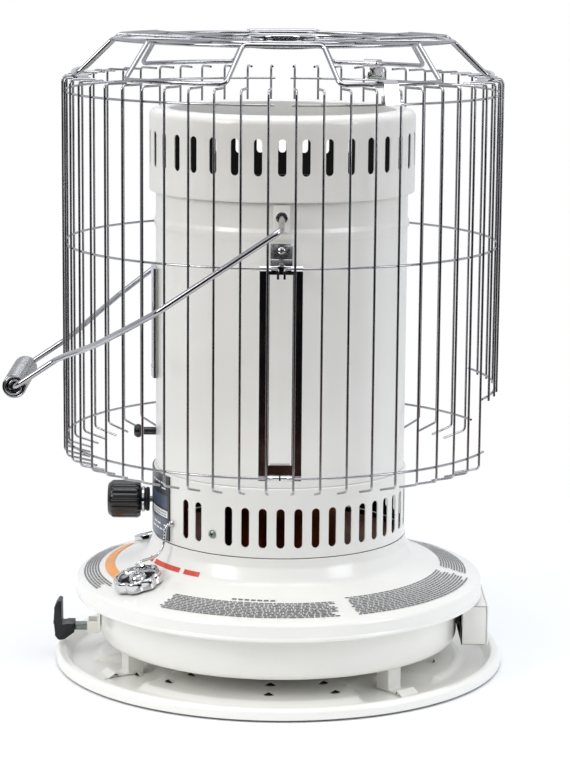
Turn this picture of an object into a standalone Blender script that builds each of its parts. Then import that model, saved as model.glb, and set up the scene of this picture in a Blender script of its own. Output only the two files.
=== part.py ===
"""Round convection kerosene heater, modelled as its separate pieces.

Metres, +Z up. The origin is the centre of the drip tray's underside and the front (the wick knob's
side) faces -Y. Angles round the heater are degrees from +X, so the front is -90 and the rear is +90.
"""

import math

import bmesh
import bpy
from mathutils import Matrix, Vector

# ---- driving dimensions, metres ---------------------------------------------------------------
GAP = 0.0003                 # between pieces that rest on each other
SHEET = 0.001                # enamelled sheet steel
ROUND = 36                   # sides of the large turned pieces
INNER_ROUND = 24             # and of the pieces inside

TRAY_RADIUS = 0.2255
TRAY_HEIGHT = 0.012
TANK_BASE = 0.026            # height of the tank's underside
TANK_RADIUS = 0.180
TANK_HEIGHT = 0.046
FLANGE_RADIUS = 0.205
FLANGE_HEIGHT = 0.015
DECK_RISE = 0.014            # from the flange's shoulder up to the foot of the neck
DECK_INNER = 0.145
NECK_HEIGHT = 0.028

SKIRT_RADIUS = 0.1265
SKIRT_HEIGHT = 0.069
DRUM_RADIUS = 0.1245
DRUM_HEIGHT = 0.275
CAP_RADIUS = 0.131
CAP_HEIGHT = 0.081
CAP_SHOULDER = 0.016
CAP_MOUTH = 0.112
CAP_COLLAR = 0.018           # turned down inside the mouth

SLOT_WIDTH = 0.008
SKIRT_SLOT_HEIGHT = 0.039
SKIRT_SLOT_PITCH = 7.8       # degrees
CAP_SLOT_HEIGHT = 0.035
CAP_SLOTS = 36

GUARD_RADIUS = 0.214
GUARD_WIRES = 54
WIRE = 0.0024                # guard wire, across
GUARD_START = 0.0155          # of the wires above the drum's foot
GUARD_OVER = 0.0295           # of the wires above the cap band
GUARD_DROP = 0.051            # of the middle ring below the cap band
GUARD_HOOK = 0.025
NOTCH_START = 0.078           # lower end, above the drum's foot, of the wires over the rear gap
NOTCH_HALF_ANGLE = 23.5

PIVOT_DROP = 0.014           # of the handle's axis below the cap band
HANDLE_ROD = 0.0058
HANDLE_SPREAD = 0.0145       # of each arm outside the guard
HANDLE_REACH = 1.4696 * GUARD_RADIUS        # pivot to the middle of the grip
HANDLE_DROP = 34.0           # degrees below level at rest
HANDLE_NECK = 0.0640         # half the width of the narrow part that holds the grip
GRIP_RADIUS = 0.012
GRIP_LENGTH = 0.113

DOME_ROD = 0.0045
DOME_RADIUS = GUARD_RADIUS - 0.009
DOME_TOP_RADIUS = GUARD_RADIUS - 0.043
DOME_RISE = 0.036
DOME_PETALS = 6

WICK_RADIUS = 0.0585         # middle of the wick's wall
WICK_WALL = 0.003
TUBE_WALL = 0.0012
WICK_TUBE_RISE = 0.056       # of the wick tubes above the skirt's foot
KNOB_RISE = 0.030            # of the wick knob's axis above it
KNOB_RADIUS = 0.019
KNOB_LENGTH = 0.042
CAP_ANGLE = -54.0            # fuel cap
CAP_DISTANCE = 0.168
FUEL_CAP_RADIUS = 0.024
FUEL_CAP_HEIGHT = 0.0130     # of its top above the deck
CAP_CLEARANCE = 0.0015       # of its skirt above the deck
GAUGE_ANGLE = -126.0
GAUGE_RADIUS = 0.016

# ---- heights and radii worked out from those --------------------------------------------------
PAN_TOP = TANK_BASE + TANK_HEIGHT
DECK_LOW = PAN_TOP + FLANGE_HEIGHT + 0.003
DECK_HIGH = DECK_LOW + DECK_RISE
SKIRT_LOW = DECK_HIGH + NECK_HEIGHT
DRUM_LOW = SKIRT_LOW + SKIRT_HEIGHT
CAP_LOW = DRUM_LOW + DRUM_HEIGHT
CAP_TOP = CAP_LOW + CAP_HEIGHT
GUARD_LOW = DRUM_LOW + GUARD_START
GUARD_HIGH = CAP_TOP + GUARD_OVER
GUARD_MID = CAP_LOW - GUARD_DROP
NOTCH_LOW = DRUM_LOW + NOTCH_START
PIVOT_HEIGHT = CAP_LOW - PIVOT_DROP
HANDLE_HALF_WIDTH = GUARD_RADIUS + HANDLE_SPREAD
WICK_TUBE_TOP = SKIRT_LOW + WICK_TUBE_RISE
KNOB_HEIGHT = SKIRT_LOW + KNOB_RISE
DOME_LOW = GUARD_HIGH + 0.8 * WIRE + DOME_ROD / 2 + GAP
DOME_TOP = DOME_LOW + DOME_RISE
DECK_OUTER = FLANGE_RADIUS - 0.010
DECK_SLOPE = math.atan(DECK_RISE / (DECK_OUTER - DECK_INNER))
PITCH = 360 / GUARD_WIRES
BEAD_DEPTH = 0.0015
FRONT = -90.0


# ---- materials ---------------------------------------------------------------------------------
def material(name, colour, roughness, metallic=0.0):
    made = bpy.data.materials.new(name)
    made.use_nodes = True
    shader = made.node_tree.nodes["Principled BSDF"]
    shader.inputs["Base Color"].default_value = (*colour, 1)
    shader.inputs["Roughness"].default_value = roughness
    shader.inputs["Metallic"].default_value = metallic
    return made


ENAMEL = material("white_enamel", (0.83, 0.81, 0.76), 0.22)
CHROME = material("chrome_plate", (0.74, 0.74, 0.75), 0.12, 1.0)
STEEL = material("plain_steel", (0.42, 0.42, 0.43), 0.38, 1.0)
BRASS = material("brass", (0.55, 0.28, 0.13), 0.35, 1.0)
BLACK = material("black_plastic", (0.012, 0.012, 0.013), 0.3)
PANEL = material("dark_panel", (0.03, 0.04, 0.055), 0.4)
COTTON = material("wick_cotton", (0.62, 0.58, 0.5), 0.95)
MICA = material("mica_sheet", (0.55, 0.42, 0.24), 0.25)
RUBBER = material("rubber", (0.02, 0.02, 0.02), 0.8)


# ---- shape helpers -----------------------------------------------------------------------------
def around(angle, radius, height):
    """The point at that angle round the heater, in degrees."""
    turn = math.radians(angle)
    return Vector((radius * math.cos(turn), radius * math.sin(turn), height))


def empty(name, location, parent=None):
    made = bpy.data.objects.new(name, None)
    bpy.context.collection.objects.link(made)
    made.location = location
    made.parent = parent
    return made


def solid(name, shape, finish, parent=None):
    """A bmesh in world coordinates as a named object, kept in place under its parent."""
    bmesh.ops.recalc_face_normals(shape, faces=shape.faces)
    mesh = bpy.data.meshes.new(name)
    shape.to_mesh(mesh)
    shape.free()
    mesh.materials.append(finish)
    if parent:
        mesh.transform(Matrix.Translation(-parent.location))
    mesh.shade_smooth()
    mesh.set_sharp_from_angle(angle=math.radians(35))
    made = bpy.data.objects.new(name, mesh)
    bpy.context.collection.objects.link(made)
    made.parent = parent
    return made


def combine(target, shape, operation, name):
    """Cuts the shape out of the target, or joins it on, with a Boolean modifier."""
    other = solid(name, shape, target.data.materials[0], target.parent)
    other.hide_render = True
    other.display_type = "WIRE"
    step = target.modifiers.new(name, "BOOLEAN")
    step.operation = operation
    step.object = other
    return target


def cut(target, shape, name):
    return combine(target, shape, "DIFFERENCE", name)


def join(target, shape, name):
    return combine(target, shape, "UNION", name)


def lathe(profile, sides=ROUND):
    """Turns (radius, height) points round Z: an outline that ends on the axis, or a closed ring."""
    shape = bmesh.new()
    on_axis = profile[0][0] == 0
    columns = []
    for k in range(sides):
        turn = math.tau * k / sides
        columns.append([
            shape.verts.new((r * math.cos(turn), r * math.sin(turn), z))
            for r, z in (profile[1:-1] if on_axis else profile)
        ])
    for k, column in enumerate(columns):
        beside = columns[(k + 1) % sides]
        for i in range(len(column) - (1 if on_axis else 0)):
            j = (i + 1) % len(column)
            shape.faces.new((column[i], beside[i], beside[j], column[j]))
    if on_axis:
        shape.faces.new([column[0] for column in columns])
        shape.faces.new([column[-1] for column in columns])
    return shape


def tube(inner, outer, low, high, sides=ROUND):
    return lathe([(inner, low), (outer, low), (outer, high), (inner, high)], sides)


def sector(inner, outer, low, high, start, end, steps):
    """A curved plate between two radii, two heights and two angles."""
    shape = bmesh.new()
    corners = ((inner, low), (outer, low), (outer, high), (inner, high))
    rows = [
        [shape.verts.new(around(start + (end - start) * k / steps, r, z)) for r, z in corners]
        for k in range(steps + 1)
    ]
    for near, far in zip(rows, rows[1:]):
        for i in range(4):
            shape.faces.new((near[i], far[i], far[i - 1], near[i - 1]))
    shape.faces.new(rows[0])
    shape.faces.new(rows[-1])
    return shape


def box(size, place):
    shape = bmesh.new()
    bmesh.ops.create_cube(shape, size=1, matrix=place @ Matrix.Diagonal((*size, 1)))
    return shape


def placed(angle, radius, height):
    """A frame at that place round the heater whose X points outwards and whose Z points up."""
    return Matrix.Translation(around(angle, radius, height)) @ Matrix.Rotation(math.radians(angle), 4, "Z")


def prism(outline, depth, place):
    """An outline in the frame's YZ plane, extruded both ways along the frame's X."""
    shape = bmesh.new()
    sides = [
        [shape.verts.new(place @ Vector((x, a, b))) for a, b in outline]
        for x in (-depth / 2, depth / 2)
    ]
    count = len(outline)
    for i in range(count):
        j = (i + 1) % count
        shape.faces.new((sides[0][i], sides[0][j], sides[1][j], sides[1][i]))
    shape.faces.new(sides[0])
    shape.faces.new(sides[1])
    return shape


def slot_outline(width, height):
    """A tall slot whose round ends are drawn as points."""
    points = []
    for top in (1, -1):
        for turn in (0, math.pi / 2, math.pi):
            a = width / 2 * math.cos(turn) * top
            b = top * ((height - width) / 2 + width / 2 * math.sin(turn))
            points.append((a, b))
    return points


def disc_outline(radius, sides=12):
    return [
        (radius * math.cos(math.tau * k / sides), radius * math.sin(math.tau * k / sides))
        for k in range(sides)
    ]


def rod(points, across, sides=4, turn=45.0):
    """A closed rod along the points with flat ends, of the section area of round wire that thick."""
    shape = bmesh.new()
    radius = across / 2 * math.sqrt(math.tau / (sides * math.sin(math.tau / sides)))
    points = [Vector(p) for p in points]
    along = (points[1] - points[0]).normalized()
    side = along.orthogonal().normalized()
    if abs(along.z) < 0.9:
        side = along.cross(Vector((0, 0, 1))).normalized()
    rings = []
    for i, point in enumerate(points):
        before = (point - points[i - 1]).normalized() if i else along
        after = (points[i + 1] - point).normalized() if i + 1 < len(points) else before
        heading = (before + after).normalized()
        side = (side - heading * side.dot(heading)).normalized()
        up = heading.cross(side)
        stretch = 1 / max(0.4, heading.dot(after))
        bend = (after - before)
        bend = bend.normalized() if bend.length > 1e-6 else Vector()
        ring = []
        for k in range(sides):
            angle = math.radians(turn) + math.tau * k / sides
            offset = (side * math.cos(angle) + up * math.sin(angle)) * radius
            offset += bend * offset.dot(bend) * (stretch - 1)
            ring.append(shape.verts.new(point + offset))
        rings.append(ring)
    for near, far in zip(rings, rings[1:]):
        for k in range(sides):
            shape.faces.new((near[k], near[k - 1], far[k - 1], far[k]))
    shape.faces.new(rings[0])
    shape.faces.new(rings[-1])
    return shape


def loop(radius, height, across, sides=24):
    """A closed ring of wire, square in section."""
    half = across / 2
    return tube(radius - half, radius + half, height - half, height + half, sides)


def arc(radius, height, start, end, steps):
    return [around(start + (end - start) * k / steps, radius, height) for k in range(steps + 1)]


def moved(shape, place):
    bmesh.ops.transform(shape, matrix=place, verts=shape.verts)
    return shape


def merged(shapes):
    """Several shapes that don't touch each other, as one bmesh."""
    whole = bmesh.new()
    for shape in shapes:
        mesh = bpy.data.meshes.new("part_of_whole")
        shape.to_mesh(mesh)
        shape.free()
        whole.from_mesh(mesh)
        bpy.data.meshes.remove(mesh)
    return whole


def smooth_path(points, steps):
    """A smooth curve through the points, with that many steps between each two."""
    points = [Vector(p) for p in points]
    padded = [2 * points[0] - points[1], *points, 2 * points[-1] - points[-2]]
    path = []
    for a, b, c, d in zip(padded, padded[1:], padded[2:], padded[3:]):
        for k in range(steps):
            t = k / steps
            path.append(
                0.5 * (2 * b + (c - a) * t + (2 * a - 5 * b + 4 * c - d) * t * t
                       + (3 * b - a - 3 * c + d) * t ** 3)
            )
    return [*path, points[-1]]


def on_deck(angle, radius):
    """A frame on the sloping deck: X points outwards down the slope and Z stands square to it."""
    height = DECK_LOW + (DECK_OUTER - radius) * DECK_RISE / (DECK_OUTER - DECK_INNER)
    return placed(angle, radius, height) @ Matrix.Rotation(DECK_SLOPE, 4, "Y")


def lying(place):
    """The frame turned so that its X points where its Z did, for outlines that lie flat on it."""
    return place @ Matrix.Rotation(-math.pi / 2, 4, "Y")


# ---- drip tray and legs ------------------------------------------------------------------------
TRAY_SHEET = 0.0013
TRAY_RIB = (0.150, 0.176)    # inner and outer radius of the stamped ring
TRAY_RIB_HEIGHT = 0.005
TRAY_VENTS = 12
TRAY_RIM = 0.009             # width of the rolled rim, across its top
TRAY_LIP = 0.001             # height of the rim's turned-down edge


def make_tray():
    r, t, rib = TRAY_RADIUS, TRAY_SHEET, TRAY_RIB_HEIGHT
    inner, outer = TRAY_RIB
    slope = 0.004
    wall = r - TRAY_RIM          # the upstand inside the rim, leaning outwards
    under = [(0, 0), (inner, 0), (inner + slope, rib), (outer - slope, rib), (outer, 0), (wall - 0.007, 0),
             (wall + t, TRAY_HEIGHT - t), (r - 0.0035, TRAY_HEIGHT - t), (r - t, TRAY_HEIGHT - 0.0035),
             (r - t, TRAY_LIP), (r, TRAY_LIP)]
    over = [(r, TRAY_HEIGHT - 0.003), (r - 0.003, TRAY_HEIGHT), (wall, TRAY_HEIGHT), (wall - 0.0075, t),
            (outer + 0.0005, t), (outer - slope + 0.0005, rib + t), (inner + slope - 0.0005, rib + t),
            (inner - 0.0005, t), (0, t)]
    tray = solid("drip_tray", lathe(under + over), ENAMEL)
    vents = []
    for k in range(TRAY_VENTS):
        place = placed(k * 360 / TRAY_VENTS, (inner + outer) / 2, rib) @ Matrix.Rotation(math.pi / 2, 4, "Y")
        vents.append(prism([(-0.0055, 0.003), (0.0055, 0.003), (0, -0.004)], 0.01, place))
    return cut(tray, merged(vents), "tray_vents_cutter")


LEG_ANGLES = {"front_left": -64.0, "front_right": -116.0, "rear_left": 42.0, "rear_right": 138.0}
LEG_RADIUS = 0.163
LEG_WIDTH = 0.030
LEG_SHEET = 0.0015


def make_leg(side, angle):
    """A strap bent to a Z: the foot stands on the tray's ring, the head carries the tank."""
    low = TRAY_RIB_HEIGHT + TRAY_SHEET + GAP
    high = TANK_BASE - GAP
    t = LEG_SHEET
    outline = [(-0.010, low), (0.006, low), (0.006, high - t), (0.016, high - t), (0.016, high),
               (0.006 - t, high), (0.006 - t, low + t), (-0.010, low + t)]
    place = placed(angle, LEG_RADIUS, 0) @ Matrix.Rotation(-math.pi / 2, 4, "Z")
    return solid(f"leg_{side}", prism(outline, LEG_WIDTH, place), ENAMEL)


# ---- tank --------------------------------------------------------------------------------------
AIR_HOLE = WICK_RADIUS - WICK_WALL / 2 - 0.0006 - TUBE_WALL - GAP


def make_tank():
    r, low, t = TANK_RADIUS, TANK_BASE, SHEET
    lip = FLANGE_RADIUS - SHEET - 2 * GAP
    hole = AIR_HOLE + TUBE_WALL + 2 * GAP
    pan = [(hole, low), (r - 0.005, low), (r, low + 0.005), (r, PAN_TOP), (lip, PAN_TOP), (lip, PAN_TOP + t),
           (r - t, PAN_TOP + t), (r - t, low + 0.0055), (r - 0.0055, low + t), (hole, low + t)]
    solid("tank_pan", lathe(pan), ENAMEL)
    foot = DECK_INNER
    top = SKIRT_RADIUS + 0.0005
    rim = FLANGE_RADIUS
    outer = [(rim, PAN_TOP - 0.001), (rim, DECK_LOW - 0.004), (rim - 0.003, DECK_LOW - 0.001),
             (rim - 0.010, DECK_LOW), (foot, DECK_HIGH), (foot - 0.008, DECK_HIGH + 0.004),
             (top + 0.003, SKIRT_LOW - 0.011), (top, SKIRT_LOW)]
    inner = [(x - t, z - (0 if i in (0, len(outer) - 1) else t)) for i, (x, z) in enumerate(outer)]
    deck = solid("tank_deck", lathe(outer + inner[::-1]), ENAMEL)
    holes = [
        prism(disc_outline(NECK_RADIUS + 0.002), 0.03, lying(on_deck(CAP_ANGLE, CAP_DISTANCE))),
        prism(disc_outline(GAUGE_RADIUS - 0.003), 0.03, lying(on_deck(GAUGE_ANGLE, CAP_DISTANCE))),
    ]
    return cut(deck, merged(holes), "deck_holes_cutter")


NECK_RADIUS = 0.0135
NECK_RISE = 0.0055           # of the filler neck above the deck
CAP_LOBES = 8
LOBE_DEPTH = 0.0025


def make_filler():
    """Filler neck with its flange on the deck, and the screwed cap with its gasket and swivel."""
    seat = on_deck(CAP_ANGLE, CAP_DISTANCE)
    r = NECK_RADIUS
    neck = [(r - 0.001, -0.012), (r, -0.012), (r, GAP), (r + 0.004, GAP), (r + 0.004, NECK_RISE),
            (r - 0.001, NECK_RISE)]
    solid("filler_neck", moved(lathe(neck, 20), seat), STEEL)
    axis = empty("fuel_cap_axis", seat.translation)
    low = NECK_RISE + GAP
    high = low + 0.002
    gasket = lathe([(0, low), (r + 0.003, low), (r + 0.003, high), (0, high)], 20)
    solid("cap_gasket", moved(gasket, seat), RUBBER, axis)
    cap = bmesh.new()
    steps = 4
    rings = []
    high_edge = FUEL_CAP_HEIGHT - 0.0008
    outline = ((1, CAP_CLEARANCE), (1, FUEL_CAP_HEIGHT - 0.004), (0.86, high_edge), (0.5, FUEL_CAP_HEIGHT))
    for share, z in outline:
        ring = []
        for k in range(CAP_LOBES * steps):
            dip = LOBE_DEPTH * (1 - abs(math.sin(math.pi * k / steps))) if share > 0.6 else 0
            turn = math.tau * k / (CAP_LOBES * steps)
            reach = share * (FUEL_CAP_RADIUS - dip)
            ring.append(cap.verts.new((reach * math.cos(turn), reach * math.sin(turn), z)))
        rings.append(ring)
    for near, far in zip(rings, rings[1:]):
        for k in range(len(near)):
            cap.faces.new((near[k], near[k - 1], far[k - 1], far[k]))
    cap.faces.new(rings[0])
    cap.faces.new(rings[-1])
    made = solid("fuel_cap", moved(cap, seat), CHROME, axis)
    bore = lathe([(0, 0), (r + 0.005, 0), (r + 0.005, high + GAP), (0, high + GAP)], 20)
    cut(made, moved(bore, seat), "fuel_cap_bore_cutter")
    top = FUEL_CAP_HEIGHT + SWIVEL_HEIGHT
    eye = lathe([(0, FUEL_CAP_HEIGHT + GAP), (0.004, FUEL_CAP_HEIGHT + GAP), (0.003, top), (0, top)], 10)
    solid("cap_swivel", moved(eye, seat), CHROME, axis)


CHAIN_ANGLE = -56.0
CHAIN_HEIGHT = SKIRT_LOW + 0.021
CHAIN_ACROSS = 0.0026
SWIVEL_HEIGHT = 0.0035


def make_chain():
    """Bead chain from an eyelet on the skirt down to the cap's swivel."""
    seat = on_deck(CAP_ANGLE, CAP_DISTANCE)
    top = FUEL_CAP_HEIGHT + SWIVEL_HEIGHT + GAP
    start = SKIRT_RADIUS + 0.0022
    anchor = prism(disc_outline(0.0035, 8), 0.0018, placed(CHAIN_ANGLE, start - 0.0009 + GAP, CHAIN_HEIGHT))
    solid("chain_eyelet", anchor, CHROME)
    out = SKIRT_RADIUS
    route = [
        around(CHAIN_ANGLE, out + 0.0028 + GAP, CHAIN_HEIGHT),
        around(CHAIN_ANGLE, out + 0.0060, CHAIN_HEIGHT - 0.0008),
        around(CHAIN_ANGLE, out + 0.0085, CHAIN_HEIGHT - 0.0060),
        around(CHAIN_ANGLE, out + 0.0095, CHAIN_HEIGHT - 0.0150),
        around(CHAIN_ANGLE + 0.2, out + 0.0130, CHAIN_HEIGHT - 0.0245),
        around(CHAIN_ANGLE + 1.0, out + 0.0225, CHAIN_HEIGHT - 0.0300),
        seat @ Vector((-0.0085, 0, top + 0.0058)),
        seat @ Vector((-0.0008, 0, top + 0.0040)),
        seat @ Vector((0, 0, top)),
    ]
    path = smooth_path(route, 3)
    curve = bpy.data.curves.new("cap_chain", "CURVE")
    curve.dimensions = "3D"
    curve.bevel_depth = CHAIN_ACROSS / 2
    curve.bevel_resolution = 2
    curve.use_fill_caps = True
    spline = curve.splines.new("POLY")
    spline.points.add(len(path) - 1)
    for point, place in zip(spline.points, path):
        point.co = (*place, 1)
    curve.materials.append(CHROME)
    chain = bpy.data.objects.new("cap_chain", curve)
    bpy.context.collection.objects.link(chain)


def make_gauge():
    """Fuel gauge: bezel on the deck, needle on its pin, and the float on its stem in the tank."""
    seat = on_deck(GAUGE_ANGLE, CAP_DISTANCE)
    r = GAUGE_RADIUS
    low = 0.0005
    bezel = [(0, low), (r, low), (r, low + 0.005), (r - 0.002, low + 0.006), (r - 0.003, low + 0.006),
             (r - 0.003, low + 0.0015), (0, low + 0.0015)]
    solid("fuel_gauge_bezel", moved(lathe(bezel, 20), seat), CHROME)
    axis = empty("gauge_axis", seat.translation)
    needle = box((0.018, 0.0022, 0.0012), seat @ Matrix.Translation((0, 0, low + 0.0027)))
    solid("fuel_gauge_needle", needle, BLACK, axis)
    x, y, z = seat.translation - Vector((0, 0, 0.008))
    made = solid("fuel_gauge_float", rod([(x, y, z), (x, y, z - 0.026)], 0.003), BRASS)
    bob = lathe([(0, -0.038), (0.010, -0.038), (0.010, -0.024), (0, -0.024)], 12)
    bob = moved(bob, Matrix.Translation((x, y, z)))
    return join(made, bob, "float_bob_operand")


# ---- skirt, panel, drum and cap band -----------------------------------------------------------
PANEL_HALF_ANGLE = 32.0
SCREW_ANGLES = {"left": -30.7, "right": -149.3}
SCREW_HEIGHT = SKIRT_LOW + 0.020
BURNER_KNOB_HEIGHT = DRUM_LOW + 0.031
BURNER_TRAVEL = 6.0          # degrees each way
WINDOW_HALF_ANGLE = 14.0
WINDOW_LOW = DRUM_LOW + 0.090
WINDOW_HIGH = WINDOW_LOW + 0.109
WINDOW_BORDER = 0.009


def slot_cutters(angles, radius, middle, height):
    outline = slot_outline(SLOT_WIDTH, height)
    return merged([prism(outline, 0.02, placed(angle, radius, middle)) for angle in angles])


def skirt_slot_angles():
    """Slots all round outside the panel, except where a screw sits."""
    angles = []
    first = -30.7 - 2 * SKIRT_SLOT_PITCH
    for k in range(46):
        angle = first + k * SKIRT_SLOT_PITCH
        if angle > 180 + 30.7 + 2 * SKIRT_SLOT_PITCH + 1:
            break
        apart = [abs((angle - screw + 180) % 360 - 180) for screw in SCREW_ANGLES.values()]
        if min(apart) > SKIRT_SLOT_PITCH / 2:
            angles.append(angle)
    return angles


def make_skirt():
    r, low, high = SKIRT_RADIUS, SKIRT_LOW + GAP, DRUM_LOW
    profile = [(r, low), (r, high), (DRUM_RADIUS - 0.004, high), (DRUM_RADIUS - 0.004, high - SHEET),
               (r - SHEET, high - SHEET), (r - SHEET, low)]
    skirt = solid("vented_skirt", lathe(profile), ENAMEL)
    middle = low + 0.010 + SKIRT_SLOT_HEIGHT / 2
    cut(skirt, slot_cutters(skirt_slot_angles(), r, middle, SKIRT_SLOT_HEIGHT), "skirt_slots_cutter")
    hole = prism(disc_outline(0.006), 0.02, placed(FRONT, r, KNOB_HEIGHT))
    cut(skirt, hole, "skirt_shaft_cutter")
    for side, angle in SCREW_ANGLES.items():
        head = prism(disc_outline(0.0038, 10), 0.0018, placed(angle, r + 0.0009 + GAP, SCREW_HEIGHT))
        solid(f"skirt_screw_{side}", head, STEEL)
    face = sector(r + GAP, r + 0.0016, low + 0.002, high - 0.002, FRONT - PANEL_HALF_ANGLE,
                  FRONT + PANEL_HALF_ANGLE, 12)
    panel = solid("control_panel", face, PANEL)
    holes = [
        prism(disc_outline(0.006), 0.02, placed(FRONT, r, KNOB_HEIGHT)),
        prism(disc_outline(0.0075), 0.02, placed(SHUTOFF_ANGLE, r, KNOB_HEIGHT)),
    ]
    cut(panel, merged(holes), "panel_holes_cutter")
    hole = prism(disc_outline(0.0075), 0.02, placed(SHUTOFF_ANGLE, r, KNOB_HEIGHT))
    cut(skirt, hole, "skirt_button_cutter")
    return panel


SHUTOFF_ANGLE = -110.0


def make_shutoff():
    """Push button that drops the wick at once."""
    place = placed(SHUTOFF_ANGLE, SKIRT_RADIUS + 0.003, KNOB_HEIGHT)
    button = prism(disc_outline(0.0068), 0.012, place)
    axis = empty("shutoff_axis", around(SHUTOFF_ANGLE, SKIRT_RADIUS, KNOB_HEIGHT))
    return solid("shutoff_button", button, BLACK, axis)


def make_drum():
    r, low, high = DRUM_RADIUS, DRUM_LOW + GAP, CAP_LOW + 0.003
    bead = CAP_LOW - 0.031
    outer = [(r, low), (r, bead - 0.005), (r + BEAD_DEPTH, bead - 0.0035), (r + BEAD_DEPTH, bead + 0.0035),
             (r, bead + 0.005), (r, high)]
    inner = [(r - SHEET, high), (r - SHEET, low)]
    drum = solid("drum", lathe(outer + inner), ENAMEL)
    half = WINDOW_HALF_ANGLE - math.degrees(WINDOW_BORDER / r) + 1
    sill = WINDOW_LOW + WINDOW_BORDER - 0.002
    head = WINDOW_HIGH - WINDOW_BORDER + 0.002
    window = sector(r - 0.01, r + 0.01, sill, head, FRONT - half, FRONT + half, 6)
    slot = sector(r - 0.01, r + 0.01, BURNER_KNOB_HEIGHT - 0.007, BURNER_KNOB_HEIGHT + 0.007,
                  FRONT - BURNER_TRAVEL - 3.5, FRONT + BURNER_TRAVEL + 3.5, 4)
    pin = disc_outline(HANDLE_ROD / 2 + 0.0008)
    pins = [prism(pin, 0.02, placed(angle, r, PIVOT_HEIGHT)) for angle in (0, 180)]
    cut(drum, merged([window, slot, *pins]), "drum_openings_cutter")
    return half


def make_window(half):
    r = DRUM_RADIUS + GAP + 0.0001
    frame = solid("window_frame", sector(r, r + 0.0045, WINDOW_LOW, WINDOW_HIGH, FRONT - WINDOW_HALF_ANGLE,
                                         FRONT + WINDOW_HALF_ANGLE, 8), CHROME)
    inside = WINDOW_HALF_ANGLE - math.degrees(WINDOW_BORDER / DRUM_RADIUS)
    opening = sector(r - 0.01, r + 0.01, WINDOW_LOW + WINDOW_BORDER, WINDOW_HIGH - WINDOW_BORDER,
                     FRONT - inside, FRONT + inside, 6)
    cut(frame, opening, "window_opening_cutter")
    pane = sector(DRUM_RADIUS - SHEET + 0.0001, DRUM_RADIUS - 0.0002, WINDOW_LOW + WINDOW_BORDER - 0.0016,
                  WINDOW_HIGH - WINDOW_BORDER + 0.0016, FRONT - half + 0.2, FRONT + half - 0.2, 6)
    return solid("mica_window", pane, MICA)


def turned_point(centre, radius, angle):
    turn = math.radians(angle)
    return centre[0] + radius * math.cos(turn), centre[1] + radius * math.sin(turn)


def make_cap_band():
    r, low, high, t = CAP_RADIUS, CAP_LOW, CAP_TOP, SHEET
    s = CAP_SHOULDER
    corner = (r - s, high - s)
    shoulder = [turned_point(corner, s, angle) for angle in (0, 30, 60, 90)]
    inside = [turned_point(corner, s - t, angle) for angle in (90, 60, 30, 0)]
    lip = DRUM_RADIUS + BEAD_DEPTH / 2
    foot = high - CAP_COLLAR
    profile = [(lip, low), (r, low), *shoulder, (CAP_MOUTH, high), (CAP_MOUTH, foot), (CAP_MOUTH + t, foot),
               (CAP_MOUTH + t, high - t), *inside, (r - t, low + t), (lip, low + t)]
    band = solid("cap_band", lathe(profile), ENAMEL)
    angles = [k * 360 / CAP_SLOTS for k in range(CAP_SLOTS)]
    middle = low + 0.025 + CAP_SLOT_HEIGHT / 2
    return cut(band, slot_cutters(angles, r, middle, CAP_SLOT_HEIGHT), "cap_slots_cutter")


# ---- wick, burner and their controls ----------------------------------------------------------
BURNER_BASE_HEIGHT = SKIRT_LOW - 0.005
FLAME_TUBE_LOW = DRUM_LOW + 0.003
FLAME_TUBE_HIGH = FLAME_TUBE_LOW + 0.141
OUTER_FLAME_RADIUS = 0.076
INNER_FLAME_RADIUS = 0.047
SHAFT = 0.006
PINION_RADIUS = 0.007


def make_wick():
    inner = WICK_RADIUS - WICK_WALL / 2
    outer = WICK_RADIUS + WICK_WALL / 2
    air = inner - 0.0006
    solid("air_tube", tube(air - TUBE_WALL, air, TANK_BASE, WICK_TUBE_TOP, INNER_ROUND), STEEL)
    hold_in = outer + GAP
    hold_out = hold_in + TUBE_WALL
    guide = hold_out + 0.0006
    shelf = BURNER_BASE_HEIGHT
    guide_profile = [(guide, 0.060), (guide + TUBE_WALL, 0.060), (guide + TUBE_WALL, shelf),
                     (SKIRT_RADIUS - 0.006, shelf), (SKIRT_RADIUS - 0.006, shelf + TUBE_WALL),
                     (guide + TUBE_WALL, shelf + TUBE_WALL), (guide + TUBE_WALL, WICK_TUBE_TOP),
                     (guide, WICK_TUBE_TOP)]
    base = solid("wick_guide", lathe(guide_profile, INNER_ROUND), BRASS)
    opening = box((0.016, 0.030, 0.022), Matrix.Translation((0, -guide, KNOB_HEIGHT)))
    cut(base, opening, "pinion_window_cutter")
    lift = empty("wick_axis", (0, 0, WICK_TUBE_TOP))
    solid("wick", tube(inner, outer, 0.045, WICK_TUBE_TOP - 0.006, INNER_ROUND), COTTON, lift)
    solid("wick_holder", tube(hold_in, hold_out, 0.070, WICK_TUBE_TOP - 0.008, INNER_ROUND), STEEL, lift)
    return hold_out, base


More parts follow.
